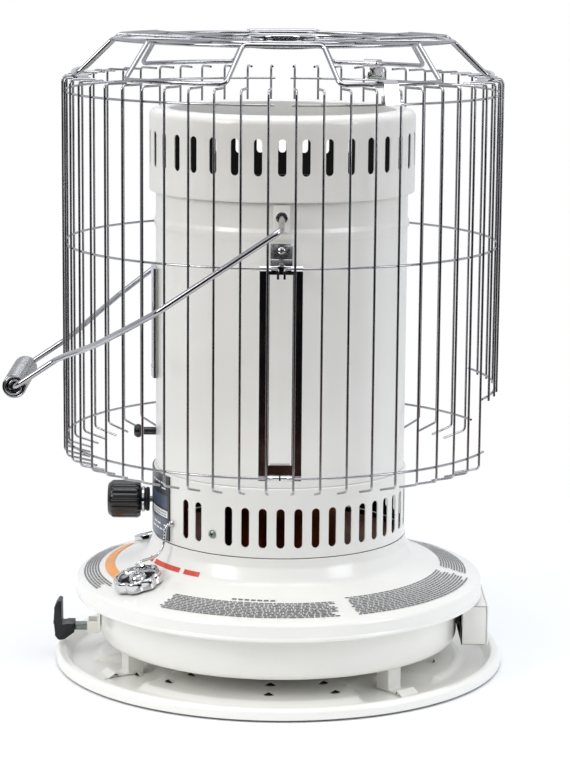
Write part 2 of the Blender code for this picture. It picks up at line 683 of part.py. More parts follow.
def make_wick_knob(rack_face):
    """Ribbed knob, its collar, and the shaft with the pinion that raises the wick."""
    axis = empty("wick_knob_axis", (0, -SKIRT_RADIUS, KNOB_HEIGHT))
    start = SKIRT_RADIUS + 0.0016 + 0.003
    turned = Matrix.Translation((0, 0, KNOB_HEIGHT)) @ Matrix.Rotation(math.pi / 2, 4, "X")
    r, length = KNOB_RADIUS, KNOB_LENGTH
    profile = [(0, start), (0.012, start), (0.0125, start + 0.006), (r, start + 0.008),
               (r, start + length - 0.004), (r - 0.004, start + length), (0, start + length)]
    solid("wick_knob", moved(lathe(profile, 24), turned), BLACK, axis)
    gear_middle = rack_face + PINION_RADIUS + 0.0009
    inner = gear_middle - 0.0045
    outer = gear_middle + 0.0045
    shaft = [(0, inner), (PINION_RADIUS, inner), (PINION_RADIUS, outer), (SHAFT / 2, outer),
             (SHAFT / 2, start - GAP), (0, start - GAP)]
    return solid("wick_shaft", moved(lathe(shaft, 12), turned), STEEL, axis)


def make_burner():
    """The lift-out burner: two perforated tubes, the spreader that joins them, and its knob."""
    axis = empty("burner_axis", (0, 0, FLAME_TUBE_LOW))
    low, high = FLAME_TUBE_LOW, FLAME_TUBE_HIGH
    r = OUTER_FLAME_RADIUS
    skin = TUBE_WALL
    outer = [(r - 0.006, low), (r, low), (r, high), (r - skin, high), (r - skin, low + skin),
             (r - 0.006, low + skin)]
    solid("outer_flame_tube", lathe(outer, INNER_ROUND), STEEL, axis)
    s = INNER_FLAME_RADIUS
    inner = [(s - skin, low), (s, low), (s, high - 0.012), (s - skin, high - 0.012)]
    solid("inner_flame_tube", lathe(inner, INNER_ROUND), STEEL, axis)
    top = high + GAP
    spreader = [(0, high - 0.012 + GAP), (s + 0.004, high - 0.012 + GAP), (s + 0.010, top), (r, top),
                (r, top + 0.0015), (s + 0.006, top + 0.0015), (s + 0.002, high - 0.010), (0, high - 0.010)]
    solid("flame_spreader", lathe(spreader, INNER_ROUND), STEEL, axis)
    stem_out = DRUM_RADIUS + 0.016
    knob = [(0, r + GAP), (0.004, r + GAP), (0.004, stem_out), (0.0068, stem_out + 0.001),
            (0.0068, stem_out + 0.0045), (0.0045, stem_out + 0.006), (0, stem_out + 0.006)]
    turned = Matrix.Translation((0, 0, BURNER_KNOB_HEIGHT)) @ Matrix.Rotation(math.pi / 2, 4, "X")
    return solid("burner_knob", moved(lathe(knob, 12), turned), BLACK, axis)


# ---- lighting: lever, igniter, batteries -------------------------------------------------------
LEVER_HEIGHT = TANK_BASE + 0.0035
LEVER_PIVOT = TANK_RADIUS + 0.006          # distance of the lever's pin from the heater's axis
IGNITER_ANGLE = -70.0


def make_lever():
    """Push-down lighting lever on its bracket at the front of the tank."""
    z = LEVER_HEIGHT
    bracket = box((0.030, 0.003, 0.020), Matrix.Translation((0, -(TANK_RADIUS + 0.0015 + GAP), z + 0.007)))
    made = solid("lever_bracket", bracket, STEEL)
    for side in (-1, 1):
        place = Matrix.Translation((side * 0.010, -(TANK_RADIUS + 0.008), z + 0.001))
        ear = box((0.0015, 0.012, 0.012), place)
        join(made, ear, f"bracket_ear_operand_{side + 2}")
    axis = empty("ignition_lever_axis", (0, -LEVER_PIVOT, z))
    bar = box((0.012, 0.022, 0.0065), Matrix.Translation((0, -(LEVER_PIVOT + 0.010), z)))
    lever = solid("lever_bar", bar, STEEL, axis)
    pin = rod([(-0.009, -LEVER_PIVOT, z), (0.009, -LEVER_PIVOT, z)], 0.003, 6)
    join(lever, pin, "lever_pin_operand")
    neck = -(LEVER_PIVOT + 0.021 + GAP)
    outline = [(neck, z + 0.0045), (neck, z - 0.0045), (neck - 0.0100, z - 0.0120), (neck - 0.0160, z - 0.0128),
               (neck - 0.0195, z - 0.0080), (neck - 0.0210, z + 0.0060), (neck - 0.0200, z + 0.0220),
               (neck - 0.0160, z + 0.0285), (neck - 0.0125, z + 0.0275), (neck - 0.0125, z + 0.0030),
               (neck - 0.0060, z + 0.0045)]
    return solid("lever_pad", prism(outline, 0.022, Matrix.Identity(4)), BLACK, axis)


def make_igniter(base):
    """Glow-coil holder that swings its coil against the wick, on a post of the wick guide."""
    holder = placed(IGNITER_ANGLE, 0.098, WICK_TUBE_TOP + 0.005)
    arm_depth = 0.003
    tall = holder.translation.z - arm_depth / 2 - GAP - BURNER_BASE_HEIGHT
    post = box((0.010, 0.010, tall), placed(IGNITER_ANGLE, 0.104, BURNER_BASE_HEIGHT + tall / 2))
    join(base, post, "igniter_post_operand")
    axis = empty("igniter_axis", holder.translation)
    blade = box((0.030, 0.004, arm_depth), holder @ Matrix.Translation((-0.004, 0, 0)))
    arm = solid("igniter_arm", blade, STEEL, axis)
    coil = rod([holder @ Vector((-0.019 - GAP, 0, 0)), holder @ Vector((-0.023, 0, 0))], 0.005, 8)
    solid("igniter_coil", coil, STEEL, axis)
    return arm


CELL_RADIUS = 0.0071
CELL_LENGTH = 0.050
CASE_LENGTH = 0.090
CASE_HEIGHT = 0.040
CASE_DEPTH = 0.0245


def make_battery_case():
    """Case on the rear of the tank: an open box, two cells and a drop-down cover."""
    back = TANK_RADIUS + 0.003
    middle = (TANK_BASE + PAN_TOP) / 2 - 0.004
    hollow = 0.0015
    place = Matrix.Translation((0, back + CASE_DEPTH / 2, middle))
    case = solid("battery_case", box((CASE_LENGTH, CASE_DEPTH, CASE_HEIGHT), place), ENAMEL)
    inside = (CASE_LENGTH - 2 * hollow, CASE_DEPTH, CASE_HEIGHT - 2 * hollow)
    cut(case, box(inside, place @ Matrix.Translation((0, hollow, 0))), "case_hollow_cutter")
    for k, side in enumerate((-1, 1)):
        half = CELL_LENGTH / 2
        cell = lathe([(0, -half), (CELL_RADIUS, -half), (CELL_RADIUS, half), (0, half)], 12)
        height = middle + side * (CELL_RADIUS + 0.0008)
        seat = Matrix.Translation((0, back + hollow + CELL_RADIUS + 0.001, height))
        turn = seat @ Matrix.Rotation(math.pi / 2, 4, "Y")
        solid(f"battery_{k + 1}", moved(cell, turn), STEEL)
    hinge = (0, back + CASE_DEPTH + GAP + 0.0009, middle - CASE_HEIGHT / 2)
    axis = empty("battery_cover_axis", hinge)
    place = Matrix.Translation((0, back + CASE_DEPTH + GAP + 0.0009, middle))
    cover = box((CASE_LENGTH, 0.0018, CASE_HEIGHT), place)
    return solid("battery_cover", cover, ENAMEL, axis)


def make_tip_weight(base):
    """Tip-over weight that trips the shut-off, hung beside a post of the wick guide."""
    place = placed(150, 0.095, BURNER_BASE_HEIGHT)
    post = box((0.012, 0.012, 0.053), place @ Matrix.Translation((0, 0, 0.0265)))
    join(base, post, "tip_post_operand")
    pivot = place @ Vector((-0.012, 0, 0.048))
    axis = empty("tip_weight_axis", pivot)
    arm = rod([pivot + Vector((0, 0, 0.003)), pivot - Vector((0, 0, 0.020))], 0.003)
    weight = solid("tip_weight", arm, STEEL, axis)
    x, y, z = pivot
    bob = moved(lathe([(0, z - 0.034), (0.005, z - 0.034), (0.005, z - 0.018), (0, z - 0.018)], 12),
                Matrix.Translation((x, y, 0)))
    return join(weight, bob, "tip_bob_operand")


# ---- wire guard --------------------------------------------------------------------------------
PLATE_WIDTH = 0.040
PLATE_OPENING = 0.021
PLATE_SHEET = 0.0012
PLATE_RADIUS = math.sqrt((GUARD_RADIUS - WIRE) ** 2 - (PLATE_WIDTH / 2) ** 2) - GAP - PLATE_SHEET / 2
SEAM_GAP = 0.008             # half the gap between ring ends at each joint


WELD_DEPTH = 0.0008          # how far an upright is pressed into the rings
RING_INSET = 0.0135          # of the end rings from the uprights' bends
HOOK_FALL = 15.0             # degrees that the lower hooks slope down


def guard_wire(angle, low, bottom_hook):
    """One upright: hooks inwards at the top and the bottom, outside the rings."""
    r = GUARD_RADIUS + WIRE - WELD_DEPTH
    path = [around(angle, r - GUARD_HOOK, GUARD_HIGH), around(angle, r, GUARD_HIGH), around(angle, r, low)]
    if bottom_hook:
        fall = GUARD_HOOK * math.tan(math.radians(HOOK_FALL))
        path.append(around(angle, r - GUARD_HOOK, low - fall))
    return rod(path, WIRE, 3, 30)


def in_notch(angle):
    return abs((angle - 90 + 180) % 360 - 180) < NOTCH_HALF_ANGLE


def make_guard_half(name, start, end):
    seam = math.degrees(SEAM_GAP / GUARD_RADIUS)
    angles = [PITCH / 2 + PITCH * k for k in range(GUARD_WIRES)]
    inside = [a for a in angles if start < (a if a < end else a - 360) < end]
    wires = [guard_wire(a, NOTCH_LOW if in_notch(a) else GUARD_LOW, not in_notch(a)) for a in inside]
    half = solid(name, merged(wires), CHROME)
    steps = GUARD_WIRES // 2
    first, last = start + seam, end - seam
    arcs = [(GUARD_HIGH - RING_INSET, first, last), (GUARD_MID, first, last)]
    low = GUARD_LOW + RING_INSET
    if start < 90 < end:
        notch = NOTCH_HALF_ANGLE
        arcs += [(low, first, 90 - notch + 1), (low, 90 + notch - 1, last)]
        arcs += [(NOTCH_LOW + 0.004, 90 - notch - 1, 90 + notch + 1)]
    else:
        arcs += [(low, first, last)]
    rings = []
    for height, a, b in arcs:
        path = arc(GUARD_RADIUS, height, a, b, max(4, round(steps * (b - a) / 180)))
        rings.append(rod(path, WIRE, 3, 0))
    return join(half, merged(rings), f"{name}_rings_operand")


def make_guard_plate(side, angle):
    """Polished plate that bridges the seam inside the rings, with its long opening."""
    low = GUARD_LOW + RING_INSET - 0.003
    high = GUARD_MID + 0.002
    place = placed(angle, PLATE_RADIUS, (low + high) / 2)
    plate = solid(f"guard_plate_{side}", box((PLATE_SHEET, PLATE_WIDTH, high - low), place), CHROME)
    tall = high - low - 0.024
    opening = box((0.01, PLATE_OPENING, tall), place @ Matrix.Translation((0, 0, 0.004)))
    return cut(plate, opening, f"plate_opening_cutter_{side}")


BRACKET_WIDTH = 0.021


def make_guard_bracket(side, angle):
    """Chrome angle bracket from the drum to the guard plate at the middle ring."""
    start = DRUM_RADIUS + BEAD_DEPTH + GAP
    low = GUARD_MID - 0.004
    end = PLATE_RADIUS - PLATE_SHEET / 2 - GAP
    t = 0.0015
    tall = low + 0.0165
    outline = [(start, low), (end, low), (end, low + t), (start + t, low + t), (start + t, tall), (start, tall)]
    place = Matrix.Rotation(math.radians(angle) + math.pi / 2, 4, "Z")
    place = place @ Matrix.Scale(-1, 4, Vector((0, 1, 0)))
    solid(f"guard_bracket_{side}", prism(outline, BRACKET_WIDTH, place), CHROME)
    screw = prism(disc_outline(0.0032, 10), 0.0016, placed(angle, start + t + 0.0008 + GAP, low + 0.010))
    return solid(f"bracket_screw_{side}", screw, STEEL)


# ---- carrying handle ---------------------------------------------------------------------------
TAB_WIDTH = 0.0157
TAB_HEIGHT = 0.026


def make_handle_tab(side, angle):
    radius = DRUM_RADIUS + BEAD_DEPTH + GAP + 0.0008
    blank = box((0.0014, TAB_WIDTH, TAB_HEIGHT), placed(angle, radius, PIVOT_HEIGHT - 0.001))
    tab = solid(f"handle_tab_{side}", blank, ENAMEL)
    hole = prism(disc_outline(HANDLE_ROD / 2 + 0.0008), 0.02, placed(angle, radius, PIVOT_HEIGHT))
    return cut(tab, hole, f"tab_hole_cutter_{side}")


HANDLE_ARM = 0.631 * GUARD_RADIUS   # pivot to where each arm starts to bend in
# the shoulder: share of the way out from the neck, and share of the guard's radius past the straight arm
HANDLE_SHOULDER = ((0.80, 0.1869), (0.60, 0.3411), (0.36, 0.4486), (0.13, 0.5374), (0.0, 0.6075))


def make_handle():
    """Wire bail, lowered to the front, with its wound grip."""
    axis = empty("handle_axis", (0, 0, PIVOT_HEIGHT))
    drop = math.radians(HANDLE_DROP)

    def at(x, reach):
        return Vector((x, -reach * math.cos(drop), PIVOT_HEIGHT - reach * math.sin(drop)))

    wide = HANDLE_HALF_WIDTH
    grip_end = GRIP_LENGTH / 2
    reach = HANDLE_REACH
    neck = HANDLE_NECK
    half = [(DRUM_RADIUS - 0.007, 0), (wide - 0.006, 0), (wide, 0.006), (wide, HANDLE_ARM)]
    half += [(neck + (wide - neck) * out, HANDLE_ARM + down * GUARD_RADIUS) for out, down in HANDLE_SHOULDER]
    half += [(neck, reach - 0.005), (grip_end + 0.0055, reach)]
    path = [at(x, s) for x, s in half] + [at(-x, s) for x, s in reversed(half)]
    solid("handle_bail", rod(path, HANDLE_ROD, 8, 22.5), CHROME, axis)
    bore = HANDLE_ROD / 2 / math.cos(math.pi / 8) + GAP
    grip = lathe([(bore, -grip_end), (GRIP_RADIUS, -grip_end), (GRIP_RADIUS, grip_end), (bore, grip_end)], 16)
    place = Matrix.Translation(at(0, reach)) @ Matrix.Rotation(math.pi / 2, 4, "Y")
    return solid("handle_grip", moved(grip, place), CHROME, axis)


# ---- top guard and its clips -------------------------------------------------------------------
DOME_RING_RADII = (0.161, 0.093, 0.033)
RIM_ARC = 15.4               # degrees from the middle of a low arc to its end
RIM_BEND = 17.6              # and to the start of the high arc beside it
CLIP_ANGLES = {"near": 4 * PITCH, "far": 180 - 4 * PITCH}   # midway between two uprights


def make_dome():
    """Castellated rim whose low arcs rest on the guard's hooks, with rings and spokes on top."""
    rim = []
    spokes = []
    top = DOME_TOP - DOME_ROD / 2
    for k in range(DOME_PETALS):
        middle = 360 / DOME_PETALS * k + 30
        rim += arc(DOME_RADIUS, DOME_LOW, middle - RIM_ARC, middle + RIM_ARC, 4)
        rim += arc(DOME_TOP_RADIUS, top, middle + RIM_BEND, middle + 60 - RIM_BEND, 3)
        for angle in (middle - RIM_BEND, middle + RIM_BEND):
            outer = around(angle, DOME_TOP_RADIUS + 0.0008, top)
            spokes.append(rod([outer, around(angle, DOME_RING_RADII[1] - 0.001, top - 0.002)], DOME_ROD * 0.7))
    closed = rim + rim[:1]
    dome = solid("top_guard", rod_loop(closed, DOME_ROD), CHROME)
    rings = merged([loop(radius, top - 0.0012, DOME_ROD * 0.8, INNER_ROUND) for radius in DOME_RING_RADII])
    join(dome, merged(spokes), "dome_spokes_operand")
    join(dome, rings, "dome_rings_operand")
    inner = []
    for k in range(6):
        start = around(60 * k, DOME_RING_RADII[1] + 0.001, top - 0.002)
        end = around(60 * k, DOME_RING_RADII[2] - 0.002, top - 0.003)
        inner.append(rod([start, end], DOME_ROD * 0.7))
    join(dome, merged(inner), "dome_inner_spokes_operand")
    low = top - 0.010
    r = DOME_RING_RADII[2] + 0.0008
    cup = lathe([(0, low), (r - 0.006, low), (r, top - 0.003), (r, top), (r - 0.0015, top),
                 (r - 0.0075, low + 0.0015), (0, low + 0.0015)], 20)
    return join(dome, cup, "dome_cup_operand")


def rod_loop(points, across):
    """A closed loop of square rod through the points; the last point repeats the first."""
    shape = bmesh.new()
    points = points[:-1]
    count = len(points)
    half = across / 2
    rings = []
    for i, point in enumerate(points):
        heading = (points[(i + 1) % count] - points[i - 1]).normalized()
        side = Vector((point.x, point.y, 0)).normalized()
        side = (side - heading * side.dot(heading)).normalized()
        up = heading.cross(side)
        rings.append([
            shape.verts.new(point + side * a * half + up * b * half)
            for a, b in ((1, 1), (-1, 1), (-1, -1), (1, -1))
        ])
    for i, ring in enumerate(rings):
        far = rings[(i + 1) % count]
        for k in range(4):
            shape.faces.new((ring[k], ring[k - 1], far[k - 1], far[k]))
    return shape


CLIP_LENGTH = 0.018          # of the hanging plate below the arc


def make_clip(side, angle):
    """Spring clip that hangs on the dome's low arc and closes outside the guard's top ring."""
    arc_place = placed(angle, DOME_RADIUS, DOME_LOW)
    axis = empty(f"clip_{side}_axis", arc_place.translation)
    width, t, free = 0.015, 0.0014, DOME_ROD / math.sqrt(2) + 0.0004
    out = GUARD_RADIUS + WIRE * 2 + 0.002 - DOME_RADIUS
    outline = [(-free, -free), (-free, free), (free, free), (out, free - 0.001), (out, -CLIP_LENGTH),
               (out + t, -CLIP_LENGTH), (out + t, free), (free, free + t), (-free - t, free + t),
               (-free - t, -free)]
    flat = arc_place @ Matrix.Rotation(-math.pi / 2, 4, "Z")
    clip = prism(outline, width, flat)
    return solid(f"clip_{side}", clip, CHROME, axis)


# ---- the whole heater --------------------------------------------------------------------------
def main():
    for old in list(bpy.data.objects):
        bpy.data.objects.remove(old, do_unlink=True)
    make_tray()
    for side, angle in LEG_ANGLES.items():
        make_leg(side, angle)
    make_tank()
    make_filler()
    make_chain()
    make_gauge()
    make_skirt()
    make_shutoff()
    make_window(make_drum())
    make_cap_band()
    rack_face, burner_base = make_wick()
    make_wick_knob(rack_face)
    make_burner()
    make_lever()
    make_igniter(burner_base)
    make_battery_case()
    make_tip_weight(burner_base)
    make_guard_half("guard_front", -180.0, 0.0)
    make_guard_half("guard_rear", 0.0, 180.0)
    for side, angle in (("left", 0.0), ("right", 180.0)):
        make_guard_plate(side, angle)
        make_guard_bracket(side, angle)
        make_handle_tab(side, angle)
    make_handle()
    make_dome()
    for side, angle in CLIP_ANGLES.items():
        make_clip(side, angle)


main()
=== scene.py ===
import math
import random

import bmesh
import bpy
from mathutils import Matrix, Vector


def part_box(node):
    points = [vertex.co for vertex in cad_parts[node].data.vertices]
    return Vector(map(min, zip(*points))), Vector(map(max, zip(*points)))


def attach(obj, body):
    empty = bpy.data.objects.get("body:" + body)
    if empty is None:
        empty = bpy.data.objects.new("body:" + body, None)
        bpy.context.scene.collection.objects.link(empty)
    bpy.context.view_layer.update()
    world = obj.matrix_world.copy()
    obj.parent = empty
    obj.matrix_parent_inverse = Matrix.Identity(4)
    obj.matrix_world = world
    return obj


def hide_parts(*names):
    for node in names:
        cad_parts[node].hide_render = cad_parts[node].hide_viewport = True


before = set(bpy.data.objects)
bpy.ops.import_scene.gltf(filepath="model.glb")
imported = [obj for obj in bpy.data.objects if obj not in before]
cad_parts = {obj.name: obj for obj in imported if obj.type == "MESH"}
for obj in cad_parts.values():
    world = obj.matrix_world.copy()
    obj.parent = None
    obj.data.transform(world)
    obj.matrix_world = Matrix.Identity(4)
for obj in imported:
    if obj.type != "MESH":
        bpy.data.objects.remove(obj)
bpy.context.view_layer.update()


def hexToLinear(code):
    parts = [int(code[i:i + 2], 16) / 255 for i in (1, 3, 5)]
    return [p / 12.92 if p <= 0.04045 else ((p + 0.055) / 1.055) ** 2.4 for p in parts] + [1.0]


def addNode(tree, kind, settings=None, links=None):
    node = tree.nodes.new(kind)
    for name, value in (settings or {}).items():
        if isinstance(name, str) and name[0].islower():
            setattr(node, name, value)
        else:
            node.inputs[name].default_value = value
    for socket, source in (links or {}).items():
        tree.links.new(source, node.inputs[socket])
    return node


def newFinish(name, colour, roughness, metallic=0.0, **sockets):
    finish = bpy.data.materials.new(name)
    finish.use_nodes = True
    shader = finish.node_tree.nodes["Principled BSDF"]
    shader.inputs["Base Color"].default_value = hexToLinear(colour)
    shader.inputs["Roughness"].default_value = roughness
    shader.inputs["Metallic"].default_value = metallic
    for socket, value in sockets.items():
        shader.inputs[socket.replace("_", " ")].default_value = value
    return finish, finish.node_tree, shader


def speckle(tree, sizeMm, detail=3.0):
    # noise whose blotches are about sizeMm across, laid over the piece in metres
    place = addNode(tree, "ShaderNodeTexCoord")
    return addNode(tree, "ShaderNodeTexNoise", {"Scale": 1000 / sizeMm / 2, "Detail": detail, "Roughness": 0.6},
                   {"Vector": place.outputs["Object"]})


def ramp(tree, source, low, high, first, second):
    fade = addNode(tree, "ShaderNodeValToRGB", None, {"Fac": source})
    fade.color_ramp.elements[0].position = low
    fade.color_ramp.elements[0].color = first
    fade.color_ramp.elements[1].position = high
    fade.color_ramp.elements[1].color = second
    return fade


def varied(tree, shader, sizeMm, first, second, low=0.35, high=0.65):
    fade = ramp(tree, speckle(tree, sizeMm).outputs["Fac"], low, high, hexToLinear(first), hexToLinear(second))
    tree.links.new(fade.outputs["Color"], shader.inputs["Base Color"])


def roughened(tree, shader, sizeMm, least, most):
    fade = addNode(tree, "ShaderNodeMapRange",
                   {"From Min": 0.3, "From Max": 0.7, "To Min": least, "To Max": most},
                   {"Value": speckle(tree, sizeMm, 5.0).outputs["Fac"]})
    tree.links.new(fade.outputs["Result"], shader.inputs["Roughness"])


def bumped(tree, shader, sizeMm, depthMm, detail=2.0):
    bump = addNode(tree, "ShaderNodeBump", {"Strength": 1.0, "Distance": depthMm / 1000},
                   {"Height": speckle(tree, sizeMm, detail).outputs["Fac"]})
    tree.links.new(bump.outputs["Normal"], shader.inputs["Normal"])


# ---- finishes
finishes = {}


def bakedEnamel():
    # sprayed and baked enamel on sheet steel: off-white, glossy, with a faint orange peel in the reflections
    finish, tree, shader = newFinish("sprayedBakedEnamel", "#F0EFEA", 0.28, Coat_Weight=0.5,
                                     Coat_Roughness=0.08)
    varied(tree, shader, 90, "#EEEDE7", "#F3F2ED")
    bumped(tree, shader, 2.2, 0.006)
    return finish


def blackenedSteelAndPaintedShade():
    # the unpainted inside of the heat chamber: sheet steel blackened by heat, matt and sooty; the same
    # near-black also paints shade on the dark sheets in the tray vents, under the leg tabs, in the screw
    # recesses and in the handle tab holes
    finish, tree, shader = newFinish("heatBlackenedSteelAndPaintedShade", "#070605", 0.75, 0.2)
    varied(tree, shader, 18, "#040404", "#0D0B0A")
    return finish


def chromeWire():
    # nickel and chrome plate on drawn wire: a greyish mirror, a touch of drawing lines left in the roughness
    finish, tree, shader = newFinish("chromedDrawnWire", "#A9A9AC", 0.12, 1.0)
    varied(tree, shader, 25, "#A2A2A6", "#B2B2B4")
    roughened(tree, shader, 6, 0.08, 0.2)
    return finish


def chromeSheet():
    # pressed steel, polished and chromed: a clean mirror with slight waviness from the press
    finish, tree, shader = newFinish("chromedPressedSteel", "#CFCFD0", 0.07, 1.0)
    roughened(tree, shader, 9, 0.05, 0.14)
    bumped(tree, shader, 14, 0.02)
    return finish


def zincSteel():
    # zinc plated and passivated bar: greenish grey, semi-matt, with a fine crystalline mottle
    finish, tree, shader = newFinish("zincPlatedSteel", "#8E9690", 0.38, 1.0)
    varied(tree, shader, 4, "#7F8882", "#9AA39B")
    roughened(tree, shader, 3, 0.3, 0.48)
    return finish


def tubeSteel():
    # rolled and heated burner steel: straw and blue-grey heat tint, satin
    finish, tree, shader = newFinish("heatTintedRolledSteel", "#57504A", 0.42, 1.0)
    varied(tree, shader, 30, "#4A4A50", "#6A5A48")
    return finish


def copperBrass():
    # spun brass gone red-brown near the flame
    finish, tree, shader = newFinish("tarnishedSpunBrass", "#7C3B22", 0.4, 1.0)
    varied(tree, shader, 22, "#7A2E1C", "#8A5A2E")
    return finish


def phenolic():
    # moulded black phenolic: deep gloss black with a very fine flow texture
    finish, tree, shader = newFinish("mouldedBlackPhenolic", "#0A0A0C", 0.2, Coat_Weight=0.35,
                                     Coat_Roughness=0.1)
    roughened(tree, shader, 8, 0.16, 0.3)
    bumped(tree, shader, 3, 0.01)
    return finish


def nylon():
    # moulded black nylon, softer sheen than phenolic, fine spark-eroded grain
    finish, tree, shader = newFinish("mouldedBlackNylon", "#121319", 0.4)
    roughened(tree, shader, 5, 0.34, 0.5)
    bumped(tree, shader, 1.2, 0.02)
    return finish


def panelFilm(name, dark, light):
    # screen-printed polyester film on steel: flat colour, satin
    finish, tree, shader = newFinish(name, dark, 0.34, Coat_Weight=0.2, Coat_Roughness=0.2)
    varied(tree, shader, 12, dark, light)
    return finish


def printedInk(name, colour, second):
    # screen-printed ink fired over the enamel: thin, a little uneven, less gloss than the ground
    finish, tree, shader = newFinish(name, colour, 0.45)
    varied(tree, shader, 3, colour, second)
    return finish


def braidedWick():
    # woven cotton and glass wick, 2 mm ribs, matt and off-white
    finish, tree, shader = newFinish("wovenCottonWick", "#B9AE98", 0.95)
    place = addNode(tree, "ShaderNodeTexCoord")
    weave = addNode(tree, "ShaderNodeTexWave", {"Scale": 80.0, "Distortion": 1.5, "bands_direction": "Z"},
                    {"Vector": place.outputs["Object"]})
    fade = ramp(tree, weave.outputs["Fac"], 0.2, 0.8, hexToLinear("#8F8470"), hexToLinear("#C6BCA6"))
    tree.links.new(fade.outputs["Color"], shader.inputs["Base Color"])
    return finish


def micaSheet():
    # split mica: amber brown, glossy layers
    finish, tree, shader = newFinish("splitMicaSheet", "#8A6A3C", 0.2, Coat_Weight=0.3)
    varied(tree, shader, 15, "#6B4E28", "#9A7B48")
    return finish


def moulded(name, colour, second, roughness):
    finish, tree, shader = newFinish(name, colour, roughness)
    varied(tree, shader, 6, colour, second)
    bumped(tree, shader, 1.5, 0.02)
    return finish


finishes["enamel"] = bakedEnamel()
finishes["inside"] = blackenedSteelAndPaintedShade()
finishes["wire"] = chromeWire()
finishes["chrome"] = chromeSheet()
finishes["zinc"] = zincSteel()
finishes["tube"] = tubeSteel()
finishes["brass"] = copperBrass()
finishes["phenolic"] = phenolic()
finishes["nylon"] = nylon()
finishes["panelDark"] = panelFilm("printedFilmBlack", "#10131A", "#181C25")
finishes["panelBlue"] = panelFilm("printedFilmSlateBlue", "#3A4356", "#434D61")
finishes["panelPale"] = panelFilm("printedFilmPale", "#D9DDE0", "#E4E7E8")
finishes["greyInk"] = printedInk("greyPrintedInk", "#626265", "#77777A")
finishes["orangeInk"] = printedInk("orangePrintedInk", "#F5A04C", "#F2AE68")
finishes["redInk"] = printedInk("redPrintedInk", "#D2402E", "#DB5A45")
finishes["wick"] = braidedWick()
finishes["mica"] = micaSheet()
finishes["rubber"] = moulded("mouldedNitrileRubber", "#151515", "#1D1D1D", 0.8)
finishes["cell"] = moulded("printedCellJacket", "#30443A", "#3C5246", 0.4)
print("finishes made:", len(finishes))


# ---- shape helpers
def around(degrees, radius, height):
    turn = math.radians(degrees)
    return Vector((radius * math.cos(turn), radius * math.sin(turn), height))


def placed(degrees, radius, height):
    # a frame whose X points outwards at that angle, Y along the tangent, Z up
    return Matrix.Translation(around(degrees, radius, height)) @ Matrix.Rotation(math.radians(degrees), 4, "Z")


def bent(points, radius, steps=5, closed=False):
    # the path with its corners rounded to that radius
    count = len(points)
    path = []
    for i, point in enumerate(points):
        if not closed and i in (0, count - 1):
            path.append(point)
            continue
        before = (points[i - 1] - point)
        after = (points[(i + 1) % count] - point)
        turn = math.pi - before.angle(after)
        if turn < 0.02:
            path.append(point)
            continue
        reach = min(radius * math.tan(turn / 2), before.length * 0.49, after.length * 0.49)
        start = point + before.normalized() * reach
        end = point + after.normalized() * reach
        weight = math.cos(turn / 2)
        for k in range(steps + 1):
            t = k / steps
            a, b, c = (1 - t) ** 2, 2 * t * (1 - t) * weight, t * t
            path.append((start * a + point * b + end * c) / (a + b + c))
    return path


def profileOf(corners, steps=5):
    # corners are (radius, height) or (radius, height, fillet)
    points = [Vector((c[0], 0, c[1])) for c in corners]
    path = [points[0]]
    for i in range(1, len(points) - 1):
        fillet = corners[i][2] if len(corners[i]) > 2 else 0
        if fillet:
            path += bent(points[i - 1:i + 2], fillet, steps)[1:-1]
        else:
            path.append(points[i])
    path.append(points[-1])
    return [(p.x, p.z) for p in path]


def offsetProfile(profile, thickness):
    # the same line moved to its right-hand side, as seen going along it
    moved = []
    for i, (x, z) in enumerate(profile):
        x0, z0 = profile[max(i - 1, 0)]
        x1, z1 = profile[min(i + 1, len(profile) - 1)]
        length = math.hypot(x1 - x0, z1 - z0) or 1
        moved.append((x + (z1 - z0) / length * thickness * -1, z + (x1 - x0) / length * thickness))
    return moved


def linked(name, mesh, finish, body="root", nodes=()):
    made = bpy.data.objects.new(name, mesh)
    bpy.context.collection.objects.link(made)
    for item in finish if isinstance(finish, (list, tuple)) else [finish]:
        mesh.materials.append(finishes[item])
    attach(made, body)
    if nodes:
        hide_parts(*nodes)
    return made


def meshPiece(name, shape, finish, body="root", nodes=(), crease=35, place=None):
    if place is not None:
        bmesh.ops.transform(shape, matrix=place, verts=shape.verts)
    bmesh.ops.remove_doubles(shape, verts=shape.verts, dist=1e-6)
    bmesh.ops.recalc_face_normals(shape, faces=shape.faces)
    mesh = bpy.data.meshes.new(name)
    shape.to_mesh(mesh)
    shape.free()
    mesh.shade_smooth()
    mesh.set_sharp_from_angle(angle=math.radians(crease))
    return linked(name, mesh, finish, body, nodes)


def wirePiece(name, paths, thickness, finish, body="root", nodes=(), closed=(), roundness=3):
    curve = bpy.data.curves.new(name, "CURVE")
    curve.dimensions = "3D"
    curve.bevel_depth = thickness / 2
    curve.bevel_resolution = roundness
    curve.use_fill_caps = True
    for index, path in enumerate(paths):
        spline = curve.splines.new("POLY")
        spline.points.add(len(path) - 1)
        for point, spot in zip(spline.points, path):
            point.co = (*spot, 1)
        spline.use_cyclic_u = index in closed
    return linked(name, curve, finish, body, nodes)


def addTurned(shape, profile, sides=180, angles=None, index=0):
    # a turned skin of the profile, all round or at the given angles in degrees
    full = angles is None
    angles = angles or [360 / sides * k for k in range(sides)]
    rows = []
    for radius, height in profile:
        rows.append([shape.verts.new(around(a, radius, height)) for a in (angles if radius > 1e-6 else [0])])
    for near, far in zip(rows, rows[1:]):
        for k in range(len(angles) - (0 if full else 1)):
            n = (k + 1) % len(angles)
            corners = [near[k % len(near)], near[n % len(near)], far[n % len(far)], far[k % len(far)]]
            corners = list(dict.fromkeys(corners))
            if len(corners) > 2:
                shape.faces.new(corners).material_index = index
    return rows


